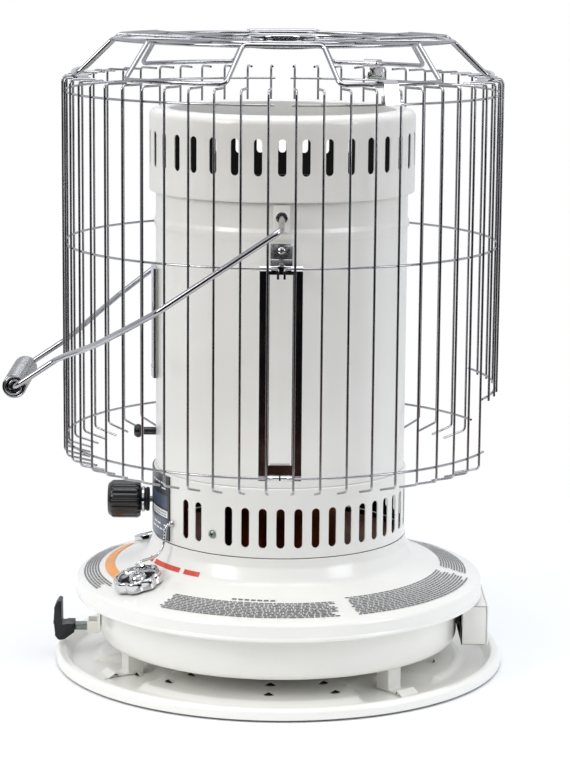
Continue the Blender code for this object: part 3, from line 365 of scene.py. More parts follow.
def stitch(shape, rows, count):
    # joins each ring of vertices to the next; a ring of one vertex is a pole
    for near, far in zip(rows, rows[1:]):
        for k in range(count):
            n = (k + 1) % count
            corners = [near[k % len(near)], near[n % len(near)], far[n % len(far)], far[k % len(far)]]
            shape.faces.new(list(dict.fromkeys(corners)))


def turnedPiece(name, profile, finish, body="root", nodes=(), sides=180, place=None, crease=35):
    shape = bmesh.new()
    addTurned(shape, profile, sides)
    return meshPiece(name, shape, finish, body, nodes, crease, place)


def turnedSheet(name, profile, thickness, body="root", nodes=(), sides=180, finish=("enamel", "inside")):
    # outer skin in the first finish, inner skin in the second
    shape = bmesh.new()
    inner = offsetProfile(profile, thickness)
    addTurned(shape, profile, sides, index=0)
    addTurned(shape, inner, sides, index=1)
    addTurned(shape, [profile[0], inner[0]], sides, index=0)
    addTurned(shape, [profile[-1], inner[-1]], sides, index=0)
    return meshPiece(name, shape, list(finish), body, nodes)


def slotColumns(centres, halfAngle, steps=8, plain=2.4):
    # angles all round, each with the share across its slot from -1 to 1, or None between slots
    columns = []
    centres = sorted(c % 360 for c in centres)
    for i, centre in enumerate(centres):
        for k in range(steps + 1):
            share = -math.cos(math.pi * k / steps)
            columns.append((centre + share * halfAngle, share))
        gap = (centres[(i + 1) % len(centres)] - centre) % 360 - 2 * halfAngle
        count = max(1, round(gap / plain))
        columns += [(centre + halfAngle + gap * k / count, None) for k in range(1, count)]
    return columns


def addSlottedWall(shape, columns, radius, thickness, low, high, slotLow, slotHigh, slotWidth):
    # a round wall with upright slots that have half-round ends, outer and inner skins and the cut edges between
    half = slotWidth / 2
    skins = []
    for depth in (0, thickness):
        skin = []
        for angle, share in columns:
            rise = half * (1 - math.sqrt(max(0, 1 - share * share))) if share is not None else half
            heights = (low, slotLow + rise, slotHigh - rise, high)
            skin.append([shape.verts.new(around(angle, radius - depth, z)) for z in heights])
        skins.append(skin)
    count = len(columns)
    for k in range(count):
        n = (k + 1) % count
        inSlot = columns[k][1] is not None and columns[n][1] is not None and columns[n][1] > columns[k][1]
        for index, skin in enumerate(skins):
            for row in (0, 1, 2):
                if row == 1 and inSlot:
                    continue
                face = shape.faces.new((skin[k][row], skin[n][row], skin[n][row + 1], skin[k][row + 1]))
                face.material_index = index
        if inSlot:
            for row in (1, 2):
                shape.faces.new((skins[0][k][row], skins[0][n][row], skins[1][n][row], skins[1][k][row]))
        share = columns[k][1]
        if share is not None and abs(share) > 0.999:
            shape.faces.new((skins[0][k][1], skins[0][k][2], skins[1][k][2], skins[1][k][1]))
    return [a for a, _ in columns]


def addCollar(shape, profile, thickness, angles):
    # plain turned sheet above or below a slotted wall, on the same columns
    ring = [*angles, angles[0] + 360]
    inner = offsetProfile(profile, thickness)
    addTurned(shape, profile, angles=ring, index=0)
    addTurned(shape, inner, angles=ring, index=1)


def bentPlate(shape, path, width, thickness, place):
    # a strip of sheet folded along the path (X outwards, Z up), width across Y
    line = [(p[0], p[1]) for p in path]
    back = offsetProfile(line, thickness)
    rings = []
    for y in (-width / 2, width / 2):
        rings.append([shape.verts.new(place @ Vector((x, y, z))) for x, z in [*line, *back[::-1]]])
    count = len(rings[0])
    for k in range(count):
        n = (k + 1) % count
        shape.faces.new((rings[0][k], rings[0][n], rings[1][n], rings[1][k]))
    lines = len(line)
    for ring in rings:
        for k in range(lines - 1):
            shape.faces.new((ring[k], ring[k + 1], ring[count - 2 - k], ring[count - 1 - k]))


def addBlock(shape, size, place, bevel=0.0, steps=2):
    made = bmesh.ops.create_cube(shape, size=1)
    bmesh.ops.scale(shape, vec=size, verts=made["verts"])
    if bevel:
        edges = list({e for v in made["verts"] for e in v.link_edges})
        out = bmesh.ops.bevel(shape, geom=edges, offset=bevel, segments=steps, affect="EDGES", profile=0.5)
        made["verts"] = list({v for f in out["faces"] for v in f.verts} | {v for v in made["verts"]
                if v.is_valid})
    bmesh.ops.transform(shape, matrix=place, verts=made["verts"])


def refinish(finish, *names):
    # a CAD piece whose shape is right takes the finish as it is
    for name in names:
        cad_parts[name].data.materials.clear()
        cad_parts[name].data.materials.append(finishes[finish])


# ---- camera and chain
view = {"place": (2.5194, 0.0, 0.7313), "turn": (79.950, -0.470, 89.981), "lens": 121.107}
camera = bpy.data.objects.new("camera", bpy.data.cameras.new("camera"))
bpy.context.collection.objects.link(camera)
camera.location = view["place"]
camera.rotation_euler = [math.radians(a) for a in view["turn"]]
camera.data.lens = view["lens"]
camera.data.clip_start = 0.05
camera.data.clip_end = 60
bpy.context.scene.camera = camera

deck = {"edge": 0.205, "low": 0.090, "high": 0.104, "outer": 0.195, "inner": 0.145}
deckSlope = math.atan((deck["high"] - deck["low"]) / (deck["outer"] - deck["inner"]))
filler = {"angle": -54.0, "distance": 0.168, "radius": 0.024, "height": 0.0130, "clear": 0.0015, "lobes": 8,
          "lobeDepth": 0.0026}


def onDeck(degrees, radius):
    height = deck["low"] + (deck["outer"] - radius) * math.tan(deckSlope)
    return placed(degrees, radius, height) @ Matrix.Rotation(deckSlope, 4, "Y")


chain = {"angle": -56.0, "height": 0.153, "bead": 0.0026, "wall": 0.1265, "swivel": 0.0035}


def chainRoute():
    seat = onDeck(filler["angle"], filler["distance"])
    top = filler["height"] + chain["swivel"] + 0.0003
    a, r, h = chain["angle"], chain["wall"], chain["height"]
    points = [
        around(a, r + 0.0031, h), around(a, r + 0.0060, h - 0.0008), around(a, r + 0.0085, h - 0.0060),
        around(a, r + 0.0095, h - 0.0150), around(a + 0.2, r + 0.0130, h - 0.0245),
        around(a + 1.0, r + 0.0225, h - 0.0300), seat @ Vector((-0.0085, 0, top + 0.0058)),
        seat @ Vector((-0.0008, 0, top + 0.0040)), seat @ Vector((0, 0, top)),
    ]
    ends = [points[0] * 2 - points[1], *points, points[-1] * 2 - points[-2]]
    path = []
    for p, q, s, u in zip(ends, ends[1:], ends[2:], ends[3:]):
        for k in range(3):
            t = k / 3
            path.append(0.5 * (2 * q + (s - p) * t + (2 * p - 5 * q + 4 * s - u) * t * t
                               + (3 * q - p - 3 * s + u) * t ** 3))
    return [*path, points[-1]]


def makeChain():
    route = chainRoute()
    line = wirePiece("beadChainLinks", [route], chain["bead"], "chrome", "root", ["cap_chain"])
    shape = bmesh.new()
    walked = 0.0
    target = 0.0
    for start, end in zip(route, route[1:]):
        step = (end - start).length
        while target <= walked + step:
            spot = start.lerp(end, (target - walked) / step)
            bmesh.ops.create_icosphere(shape, subdivisions=2, radius=chain["bead"] * 0.56,
                                       matrix=Matrix.Translation(spot))
            target += chain["bead"] * 1.25
        walked += step
    beads = meshPiece("beadChainBeads", shape, "chrome")


makeChain()
print("camera and chain placed")


# ---- tray
tray = {"radius": 0.2255, "height": 0.012, "sheet": 0.0013, "floorEdge": 0.2065, "plateau": 0.0063,
        "plateauOut": 0.1835, "padAngles": (-64, -116, 42, 138), "padHalf": 17.0}


def padShare(degrees):
    # 1 in the middle of a low pad under a leg, 0 on the raised plateau
    off = min(abs((degrees - a + 180) % 360 - 180) for a in tray["padAngles"])
    t = max(0.0, min(1.0, (tray["padHalf"] - off) / 5.0))
    return t * t * (3 - 2 * t)


def makeTray():
    shape = bmesh.new()
    sides = 240
    t, r = tray["sheet"], tray["radius"]
    rim = profileOf([(tray["floorEdge"], t), (0.2092, t, 0.004), (0.2160, tray["height"], 0.003),
                     (r, tray["height"], 0.0042),
                     (r, 0.0018, 0.0006), (r - 0.0013, 0.0012)])
    rim = rim[1:]
    rows = []
    radii = [0.0, 0.03, 0.06, 0.09, 0.115, 0.128, 0.136, 0.142, 0.150, 0.165, 0.174, 0.178, 0.181, 0.184, 0.188,
             0.193,
             0.2065]
    for radius in radii:
        row = []
        for k in range(sides if radius > 0 else 1):
            degrees = 360 / sides * k
            edge = tray["plateauOut"] - 0.047 * padShare(degrees)
            s = max(0.0, min(1.0, (edge - radius) / 0.008 + 0.5))
            rise = s * s * (3 - 2 * s) * (tray["plateau"] - t)
            row.append(shape.verts.new(around(degrees, radius, t + rise)))
        rows.append(row)
    for radius, height in rim:
        rows.append([shape.verts.new(around(360 / sides * k, radius, height)) for k in range(sides)])
    under = [(r - 0.0013, 0.0080), (0.2180, 0.0105), (0.2160, 0.0098), (0.2100, 0.0003), (0.2060, 0.0),
             (0.0, 0.0)]
    for radius, height in under:
        rows.append([shape.verts.new(around(360 / sides * k, radius, height))
                     for k in range(sides if radius else 1)])
    stitch(shape, rows, sides)
    meshPiece("trayPressing", shape, "enamel", "root", ["drip_tray"])


def trayHeight(degrees, radius):
    edge = tray["plateauOut"] - 0.047 * padShare(degrees)
    s = max(0.0, min(1.0, (edge - radius) / 0.008 + 0.5))
    return tray["sheet"] + s * s * (3 - 2 * s) * (tray["plateau"] - tray["sheet"])


vents = {"pairs": (-41.5, -3.2, 20.0, 75.0, 112.0, 165.0, 198.0, 222.0, 262.0, 300.0), "radii": (0.129, 0.161),
         "width": 0.0125, "depth": 0.0085, "lift": 0.0034}


def makeTrayVents():
    # small lanced louvres: a raised lip; a dark triangle in its mouth and a dark strip on the tray just outside
    # it are painted shade
    lips = bmesh.new()
    ventShade = bmesh.new()
    for angle in vents["pairs"]:
        for radius in vents["radii"]:
            place = placed(angle, radius, trayHeight(angle, radius) + 0.0002)
            w, d, h = vents["width"] / 2, vents["depth"], vents["lift"]
            left, right, back = Vector((0, -w, 0)), Vector((0, w, 0)), Vector((-d, 0, 0.0001))
            peak = Vector((0.0006, 0, h))
            spots = [place @ p for p in (left, right, back, peak)]
            a, b, c, p = [lips.verts.new(s) for s in spots]
            lips.faces.new((a, p, c))
            lips.faces.new((p, b, c))
            # painted shade: a dark triangle filling the mouth of the louvre
            inset = [Vector((-0.0004, -w * 0.86, 0)), Vector((-0.0004, w * 0.86, 0)),
                     Vector((0.0001, 0, h * 0.86))]
            ventShade.faces.new([ventShade.verts.new(place @ s) for s in inset])
            # painted shade: a dark strip on the tray just outside the mouth
            floor = [Vector((0.0, -w * 0.8, 0)), Vector((0.0, w * 0.8, 0)), Vector((0.0016, w * 0.35, 0)),
                     Vector((0.0016, -w * 0.35, 0))]
            ventShade.faces.new([ventShade.verts.new(place @ s) for s in floor])
    meshPiece("trayVentLips", lips, "enamel", crease=20)
    meshPiece("trayVentPaintedShade", ventShade, "inside")


legs = {"angles": {"front_left": -64, "front_right": -116, "rear_left": 42, "rear_right": 138}, "radius": 0.163,
        "sheet": 0.0015, "tankBase": 0.026}


def makeLegs():
    for side, angle in legs["angles"].items():
        shape = bmesh.new()
        t, high, floor = legs["sheet"], legs["tankBase"] - 0.0003, tray["sheet"] + 0.0003
        place = placed(angle, legs["radius"], 0)
        path = profileOf([(-0.006, high), (0.006, high, 0.002), (0.006, floor + t, 0.002), (0.024, floor + t)])
        bentPlate(shape, path[::-1], 0.016, t, place)
        middle = placed(angle, legs["radius"] - 0.0062, (high + floor) / 2)
        for across in (-0.0078, 0.0078):
            wing = middle @ Matrix.Translation((0.004, across, 0))
            addBlock(shape, (0.016, t, high - floor - 0.001), wing, 0.0003, 1)
        tab = profileOf([(0.0165, 0.0052), (0.0205, 0.0055, 0.001), (0.0275, tray["sheet"] + 0.0002, 0.002),
                         (0.032, tray["sheet"] + 0.0002)])
        bentPlate(shape, tab, 0.022, 0.001, place)
        meshPiece(f"legStrap_{side}", shape, "enamel", "root", [f"leg_{side}"])
        # painted shade: a dark quad under the start of the tab
        tabShade = bmesh.new()
        corners = [Vector((0.0172, -0.0085, 0.0018)), Vector((0.0172, 0.0085, 0.0018)),
                   Vector((0.0172, 0.0085, 0.0048)),
                   Vector((0.0172, -0.0085, 0.0048))]
        tabShade.faces.new([tabShade.verts.new(place @ c) for c in corners])
        meshPiece(f"legTabShade_{side}", tabShade, "inside")


makeTray()
makeTrayVents()
makeLegs()
print("tray and legs made")


# ---- tank
tank = {"base": 0.026, "radius": 0.180, "top": 0.072, "neck": 0.127, "neckTop": 0.132, "sheet": 0.001}


def makeTank():
    r, low, high = tank["radius"], tank["base"], tank["top"]
    pan = profileOf([(0.056, low), (r, low, 0.006), (r, high, 0.0025), (deck["edge"] - 0.0016, high)])
    turnedSheet("tankPanPressing", pan, 0.001, "root", ["tank_pan"], finish=("enamel", "zinc"))
    e = deck["edge"]
    top = profileOf([
        (e - 0.0022, high - 0.0010), (e - 0.0002, high - 0.0010, 0.0008), (e, high + 0.0014, 0.0012),
        (e - 0.0012, high + 0.0032, 0.001),
        (e - 0.0004, 0.0875, 0.0045), (e - 0.0120, 0.0908, 0.012), (0.1470, 0.1041, 0.014),
        (0.1360, 0.1085, 0.014),
        (0.1288, 0.1230, 0.014), (tank["neck"], tank["neckTop"])], 8)
    turnedSheet("tankDeckPressing", top, 0.001, "root", ["tank_deck"], finish=("enamel", "zinc"))
    refinish("zinc", "filler_neck")
    return top


def skinRadius(height):
    # the deck's outer radius at a height on the curved foot of the neck
    for (x, z), (x2, z2) in zip(deckProfile, deckProfile[1:]):
        if z <= height <= z2 and z2 > z and x < 0.16:
            return x + (x2 - x) * (height - z) / (z2 - z)
    return tank["neck"]


def deckPoint(degrees, radius, lift=0.00025):
    slope = math.tan(deckSlope)
    return around(degrees, radius, deck["low"] + (deck["outer"] - radius) * slope + 0.0006 + lift)


prints = {
    "rowPitch": 0.0027, "rowHeight": 0.0016, "gap": 0.0009,
    "blocks": [
        # first angle, last angle, inner radius, outer radius, ink
        (-37.0, 19.0, 0.166, 0.193, "greyInk"), (23.0, 80.0, 0.161, 0.193, "greyInk"),
        (83.0, 128.0, 0.163, 0.190, "greyInk"),
        (-118.0, -62.0, 0.182, 0.197, "greyInk"), (-172.0, -128.0, 0.165, 0.190, "greyInk"),
        (140.0, 176.0, 0.165, 0.190, "greyInk"),
    ],
    "strip": (-116.0, -64.0, 0.166, 0.176),
}


def addArcPatch(shape, first, last, inner, outer, steps=None):
    steps = steps or max(1, round((last - first) / 1.5))
    rows = [[shape.verts.new(deckPoint(first + (last - first) * k / steps, r)) for k in range(steps + 1)]
            for r in (inner, outer)]
    for k in range(steps):
        shape.faces.new((rows[0][k], rows[0][k + 1], rows[1][k + 1], rows[1][k]))


def makePrints():
    # printed rows stand for small text: plain dashes of word length, no letters
    dice = random.Random(7)
    shape = bmesh.new()
    for first, last, inner, outer, _ in prints["blocks"]:
        radius = inner
        while radius < outer:
            angle = first + dice.uniform(0, 1.2)
            end = last - dice.uniform(0, 5)
            while angle < end:
                word = dice.uniform(0.0022, 0.0075)
                turn = math.degrees(word / radius)
                addArcPatch(shape, angle, min(angle + turn, end), radius, radius + prints["rowHeight"], 2)
                angle += turn + math.degrees(prints["gap"] / radius)
            radius += prints["rowPitch"]
    for k in range(7):
        addArcPatch(shape, -16.0 + 2.2 * k, -14.4 + 2.2 * k, 0.1605, 0.1630, 2)
    meshPiece("deckPrintedRows", shape, "greyInk")
    strip = bmesh.new()
    addArcPatch(strip, *prints["strip"])
    meshPiece("deckPrintedStrip", strip, "orangeInk")
    red = bmesh.new()
    for first, last in ((-72.0, -67.5), (-65.5, -46.0), (-43.5, -35.0)):
        steps = 10
        rows = []
        for height in (0.1098, 0.1108, 0.1118, 0.1128, 0.1140):
            radius = skinRadius(height) + 0.0003
            rows.append([red.verts.new(around(first + (last - first) * k / steps, radius, height))
                         for k in range(steps + 1)])
        for near, far in zip(rows, rows[1:]):
            for k in range(steps):
                red.faces.new((near[k], near[k + 1], far[k + 1], far[k]))
    meshPiece("neckPrintedBars", red, "redInk")


deckProfile = makeTank()
makePrints()


def makeFiller():
    # chromed cap: eight lobes with scooped valleys, a dished top and the swivel in the middle
    seat = onDeck(filler["angle"], filler["distance"])
    shape = bmesh.new()
    lobes, steps = filler["lobes"], 12
    r, top = filler["radius"], filler["height"]
    outline = [(0.93, filler["clear"], 1.0), (1.0, filler["clear"] + 0.0010, 1.0), (1.0, top - 0.0030, 1.0),
               (0.975, top - 0.0012, 1.0), (0.93, top - 0.0004, 0.9), (0.87, top - 0.0003, 0.7),
               (0.82, top - 0.0014, 0.4),
               (0.79, top - 0.0040, 0.1), (0.74, top - 0.0046, 0.0), (0.36, top - 0.0046, 0.0),
               (0.30, top - 0.0010, 0.0),
               (0.24, top, 0.0), (0.0, top, 0.0)]
    rows = []
    for share, height, lobed in outline:
        row = []
        for k in range(lobes * steps if share else 1):
            wave = 1 - abs(math.cos(math.pi * k / steps))
            reach = r * share - filler["lobeDepth"] * wave * lobed
            turn = math.tau * k / (lobes * steps)
            row.append(shape.verts.new((reach * math.cos(turn), reach * math.sin(turn), height)))
        rows.append(row)
    stitch(shape, rows, lobes * steps)
    meshPiece("fuelCapPressing", shape, "chrome", "fuel_cap", ["fuel_cap"], crease=40, place=seat)
    refinish("rubber", "cap_gasket")
    ring = profileOf([(0.0, top + 0.0003), (0.0040, top + 0.0003, 0.0005), (0.0034, top + 0.0016, 0.0005),
                      (0.0012, top + 0.0022, 0.0004), (0.0010, top + 0.0036), (0.0, top + 0.0038)])
    turnedPiece("capSwivelStud", ring, "chrome", "fuel_cap", ["cap_swivel"], 32, seat)
    eyelet = profileOf([(0.0, 0.0018), (0.0018, 0.0018, 0.0004), (0.0030, 0.0012, 0.0005),
                        (0.0036, 0.0, 0.0003)])
    side = placed(chain["angle"], chain["wall"] + 0.0016, chain["height"]) @ Matrix.Rotation(math.pi / 2, 4,
            "Y")
    turnedPiece("chainEyeletRivet", eyelet, "chrome", "root", ["chain_eyelet"], 24, side)


makeFiller()
print("tank and filler made")


def makeGauge():
    seat = onDeck(-126.0, 0.168)
    bezel = profileOf([(0.0, 0.0020), (0.0125, 0.0020, 0.0003), (0.0128, 0.0062, 0.0006),
                       (0.0148, 0.0062, 0.001), (0.0160, 0.0045, 0.001), (0.0160, 0.0004)])
    turnedPiece("gaugeBezelRing", bezel, "chrome", "root", ["fuel_gauge_bezel"], 64, seat)
    dial = bmesh.new()
    for k in range(7):
        angle = -120 + 20 * k
        spot = seat @ Matrix.Rotation(math.radians(angle), 4, "Z") @ Matrix.Translation((0.0100, 0, 0.00215))
        addBlock(dial, (0.0026 if k in (0, 6) else 0.0016, 0.0006, 0.0001), spot)
    meshPiece("gaugeDialMarks", dial, "panelDark")
    refinish("nylon", "fuel_gauge_needle")
    refinish("brass", "fuel_gauge_float")


makeGauge()

# ---- skirt, control panel, drum and cap band
skirt = {"radius": 0.1265, "low": 0.1323, "high": 0.201, "slotWidth": 0.008, "slotHeight": 0.039,
         "slotRise": 0.010,
         "pitch": 7.8, "screws": (-30.7, -149.3), "screwHeight": 0.152}
drum = {"radius": 0.1245, "low": 0.2013, "high": 0.479, "bead": 0.445, "beadDepth": 0.0015}
band = {"radius": 0.131, "low": 0.476, "high": 0.557, "mouth": 0.112, "slots": 36, "slotHeight": 0.035,
        "slotRise": 0.025}
panel = {"half": 32.0, "thick": 0.0013, "shutoff": -110.0, "knobHeight": 0.162}


def skirtSlots():
    first = -30.7 - 2 * skirt["pitch"]
    angles = []
    for k in range(46):
        angle = first + k * skirt["pitch"]
        if angle > 180 + 30.7 + 2 * skirt["pitch"] + 1:
            break
        if min(abs((angle - s + 180) % 360 - 180) for s in skirt["screws"]) > skirt["pitch"] / 2:
            angles.append(angle)
    return angles


def makeSkirt():
    shape = bmesh.new()
    r, low, high = skirt["radius"], skirt["low"], skirt["high"]
    half = math.degrees(skirt["slotWidth"] / 2 / r)
    columns = slotColumns(skirtSlots(), half)
    slotLow = low + skirt["slotRise"]
    angles = addSlottedWall(shape, columns, r, tank["sheet"], low + 0.0016, high - 0.0030, slotLow,
                            slotLow + skirt["slotHeight"],
                            skirt["slotWidth"])
    addCollar(shape, profileOf([(r, high - 0.0030), (r, high, 0.0024), (0.1205, high)]), tank["sheet"], angles)
    addCollar(shape, profileOf([(r - 0.0009, low), (r, low + 0.0005, 0.0006), (r, low + 0.0016)]),
              tank["sheet"], angles)
    meshPiece("skirtPressing", shape, ["enamel", "inside"], "root", ["vented_skirt"])


def makeScrew(name, place, radius, node, finish="zinc"):
    # pan head; the cross recess is two dark bars across the head, painted shade in the recess
    head = profileOf([(0.0, radius * 0.52), (radius * 0.45, radius * 0.5, radius * 0.3),
                      (radius * 0.92, radius * 0.28, radius * 0.2), (radius, 0.0)])
    turnedPiece(name, head, finish, "root", [node], 32, place)
    cross = bmesh.new()
    for turn in (20, 110):
        addBlock(cross, (radius * 1.0, radius * 0.22, radius * 0.16),
                 place @ Matrix.Rotation(math.radians(turn), 4,
                                         "Z") @ Matrix.Translation((0, 0, radius * 0.48)), radius * 0.03, 1)
    meshPiece(name + "RecessShade", cross, "inside")


def facing(degrees, radius, height):
    # Z outwards, for pieces turned about a level axis
    return placed(degrees, radius, height) @ Matrix.Rotation(math.pi / 2, 4, "Y")


def addWallPatch(shape, first, last, low, high, radius, thick=0.0, index=0):
    # curved plate between two angles, its outer face at the radius
    steps = max(2, round((last - first) / 2))
    skins = []
    for depth in ((0, thick) if thick else (0,)):
        rows = []
        for height in (low, high):
            rows.append([shape.verts.new(around(first + (last - first) * k / steps, radius - depth, height))
                         for k in range(steps + 1)])
        skins.append(rows)
        for k in range(steps):
            shape.faces.new((rows[0][k], rows[0][k + 1], rows[1][k + 1], rows[1][k])).material_index = index
    if thick:
        for row in (0, 1):
            for k in range(steps):
                shape.faces.new((skins[0][row][k], skins[0][row][k + 1], skins[1][row][k + 1],
                                 skins[1][row][k])).material_index = index
        for k in (0, steps):
            shape.faces.new((skins[0][0][k], skins[0][1][k], skins[1][1][k],
                             skins[1][0][k])).material_index = index


def makePanel():
    shape = bmesh.new()
    r, low, high = skirt["radius"], skirt["low"] + 0.002, skirt["high"] - 0.002
    first, last = -90 - panel["half"], -90 + panel["half"]
    addWallPatch(shape, first, last, low, high, r + 0.0016, thick=panel["thick"])
    meshPiece("controlPanelPlate", shape, "panelDark", "root", ["control_panel"])
    blue = bmesh.new()
    addWallPatch(blue, first + 1.2, last - 1.2, low + 0.002, 0.1555, r + 0.00170)
    addWallPatch(blue, first + 1.2, last - 1.2, 0.1665, 0.1790, r + 0.00170)
    meshPiece("controlPanelField", blue, "panelBlue")
    pale = bmesh.new()
    addWallPatch(pale, first + 1.2, -101.0, 0.1570, 0.1640, r + 0.00172)
    addWallPatch(pale, -79.0, last - 1.2, 0.1570, 0.1640, r + 0.00172)
    dice = random.Random(3)
    for height in (0.1480, 0.1430, 0.1850, 0.1900):
        angle = first + 4
        while angle < last - 4:
            step = dice.uniform(1.4, 4.5)
            if abs(angle + 90) > 11 and dice.random() < 0.7:
                addWallPatch(pale, angle, angle + step, height, height + 0.0016, r + 0.00176)
            angle += step + 1.0
    meshPiece("controlPanelMarks", pale, "panelPale")
    dashes = bmesh.new()
    for height in (0.1585, 0.1612):
        angle = first + 3
        while angle < last - 3:
            step = dice.uniform(0.8, 2.6)
            if angle < -103 or angle > -78:
                addWallPatch(dashes, angle, angle + step, height, height + 0.0009, r + 0.00180)
            angle += step + 0.6
    meshPiece("controlPanelSmallRows", dashes, "greyInk")
    button = profileOf([(0.0, 0.0060), (0.0052, 0.0060, 0.0012), (0.0068, 0.0040, 0.001), (0.0068, -0.0058),
                        (0.0, -0.0058)])
    turnedPiece("shutoffButtonCap", button, "nylon", "shutoff", ["shutoff_button"], 48,
                facing(panel["shutoff"], r + 0.003, panel["knobHeight"]))


def makeDrum():
    r, b, d = drum["radius"], drum["bead"], drum["beadDepth"]
    body = profileOf([(r, drum["low"]), (r, b - 0.0060, 0.003), (r + d, b - 0.0022, 0.004),
                      (r + d, b + 0.0022, 0.004), (r, b + 0.0060, 0.003),
                      (r, drum["high"])])
    shape = bmesh.new()
    window = {"first": -90 - 10.4, "last": -90 + 10.4, "low": 0.2985, "high": 0.3925}
    ring = sorted({*[k * 2.0 for k in range(180) if not 259 < k * 2.0 < 281], 259.6, 264.0, 268.0, 272.0, 276.0,
                   280.4})
    rows = sorted({drum["low"], 0.255, window["low"], window["high"], 0.42})
    inner = offsetProfile(body, tank["sheet"])
    for skin, (profile, offset) in enumerate(((body, 0.0), (inner, tank["sheet"]))):
        plain = [(r - offset, z) for z in rows] + [p for p in profile if p[1] > 0.421]
        closed = [*ring, 360.0]
        grid = [[shape.verts.new(around(a, x, z)) for a in closed] for x, z in plain]
        for i, (near, far) in enumerate(zip(grid, grid[1:])):
            for k in range(len(closed) - 1):
                if window["low"] - 1e-6 < plain[i][1] < window["high"] - 1e-6 and 259.5 < closed[k] < 280.3:
                    continue
                shape.faces.new((near[k], near[k + 1], far[k + 1], far[k])).material_index = skin
    meshPiece("drumPressing", shape, ["enamel", "inside"], "root", ["drum"])


def makeBand():
    shape = bmesh.new()
    r, low, high = band["radius"], band["low"], band["high"]
    half = math.degrees(skirt["slotWidth"] / 2 / r)
    columns = slotColumns([360 / band["slots"] * k for k in range(band["slots"])], half)
    slotLow = low + band["slotRise"]
    angles = addSlottedWall(shape, columns, r, tank["sheet"], low + 0.0030, high - 0.0168, slotLow,
                            slotLow + band["slotHeight"],
                            skirt["slotWidth"])
    mouth = band["mouth"]
    shoulder = [(r, high - 0.0168), (r, high, 0.0158), (mouth, high, 0.0024), (mouth, high - 0.018)]
    addCollar(shape, profileOf(shoulder, 9), tank["sheet"], angles)
    addCollar(shape, profileOf([(drum["radius"] + 0.0009, low), (r, low, 0.0022), (r, low + 0.0030)]),
              tank["sheet"], angles)
    meshPiece("capBandPressing", shape, ["enamel", "inside"], "root", ["cap_band"])


makeSkirt()
makePanel()
makeDrum()
makeBand()
for side, angle in (("left", -30.7), ("right", -149.3)):
    makeScrew(f"skirtScrew_{side}", facing(angle, skirt["radius"] + 0.0003, skirt["screwHeight"]), 0.0042,
              f"skirt_screw_{side}")
print("skirt, drum and cap band made")


# ---- window and controls at the front
def makeWindow():
    r = drum["radius"] + 0.0048
    shape = bmesh.new()
    low, high, edge = 0.291, 0.400, 0.009
    inset = math.degrees(edge / drum["radius"])
    addWallPatch(shape, -104, -76, low, low + edge, r, thick=0.0042)
    addWallPatch(shape, -104, -76, high - edge, high, r, thick=0.0042)
    addWallPatch(shape, -104, -104 + inset, low + edge, high - edge, r, thick=0.0042)
    addWallPatch(shape, -76 - inset, -76, low + edge, high - edge, r, thick=0.0042)
    meshPiece("windowFramePressing", shape, "chrome", "root", ["window_frame"])
    bars = []
    for angle in (-95.5, -90, -84.5):
        bars.append([around(angle, r - 0.0012, low + edge - 0.002),
                     around(angle, r - 0.0012, high - edge + 0.002)])
    wirePiece("windowGuardBars", bars, 0.0016, "wire")
    refinish("mica", "mica_window")


knob = {"radius": 0.019, "length": 0.042, "ribs": 18, "fluteDepth": 0.0013}


def makeKnob():
    # moulded knob: long flutes between flat ribs, chamfered end, chromed ring on its hub
    start = skirt["radius"] + 0.0046
    place = facing(-90, 0, panel["knobHeight"])
    shape = bmesh.new()
    r, end = knob["radius"], start + knob["length"]
    outline = [(0.0, start + 0.0082, 0), (0.0120, start + 0.0082, 0), (0.0172, start + 0.0090, 0),
               (r, start + 0.0118, 0.35), (r, start + 0.0140, 1),
               (r, end - 0.0062, 1), (r - 0.0003, end - 0.0050, 0.35), (r - 0.0010, end - 0.0038, 0),
               (r - 0.0030, end - 0.0010, 0), (r - 0.0042, end - 0.0004, 0), (r - 0.0060, end - 0.0012, 0),
               (0.0, end - 0.0012, 0)]
    count = knob["ribs"] * 8
    rows = []
    for radius, height, fluted in outline:
        row = []
        for k in range(count if radius else 1):
            wave = max(0.0, math.cos(math.tau * k / 8)) ** 1.5
            reach = radius - knob["fluteDepth"] * wave * fluted
            turn = math.tau * k / count
            spot = Vector((reach * math.cos(turn), reach * math.sin(turn), height))
            row.append(shape.verts.new(place @ spot))
        rows.append(row)
    stitch(shape, rows, count)
    meshPiece("wickKnobMoulding", shape, "phenolic", "wick_control", ["wick_knob"], crease=50)
    hub = profileOf([(0.0, start), (0.0118, start, 0.0008), (0.0125, start + 0.0025, 0.0008),
                     (0.0112, start + 0.0040, 0.0006), (0.0112, start + 0.0084)])
    turnedPiece("wickKnobHub", hub, "nylon", "wick_control", (), 64, place)
    ring = profileOf([(0.0113, start + 0.0044), (0.0132, start + 0.0048, 0.0006),
                      (0.0132, start + 0.0074, 0.0006), (0.0113, start + 0.0078)])
    turnedPiece("wickKnobRing", ring, "chrome", "wick_control", (), 64, place)
    refinish("zinc", "wick_shaft")
    stem = drum["radius"] + 0.016
    shape = profileOf([(0.0, 0.0765), (0.0040, 0.0765), (0.0040, stem - 0.003, 0.002),
                       (0.0066, stem + 0.0002, 0.001), (0.0070, stem + 0.0030, 0.0015),
                       (0.0050, stem + 0.0060, 0.002),
                       (0.0, stem + 0.0062)])
    turnedPiece("burnerKnobMoulding", shape, "phenolic", "burner", ["burner_knob"], 48, facing(-90, 0, 0.232))


lever = {"height": 0.0295, "pivot": 0.186}


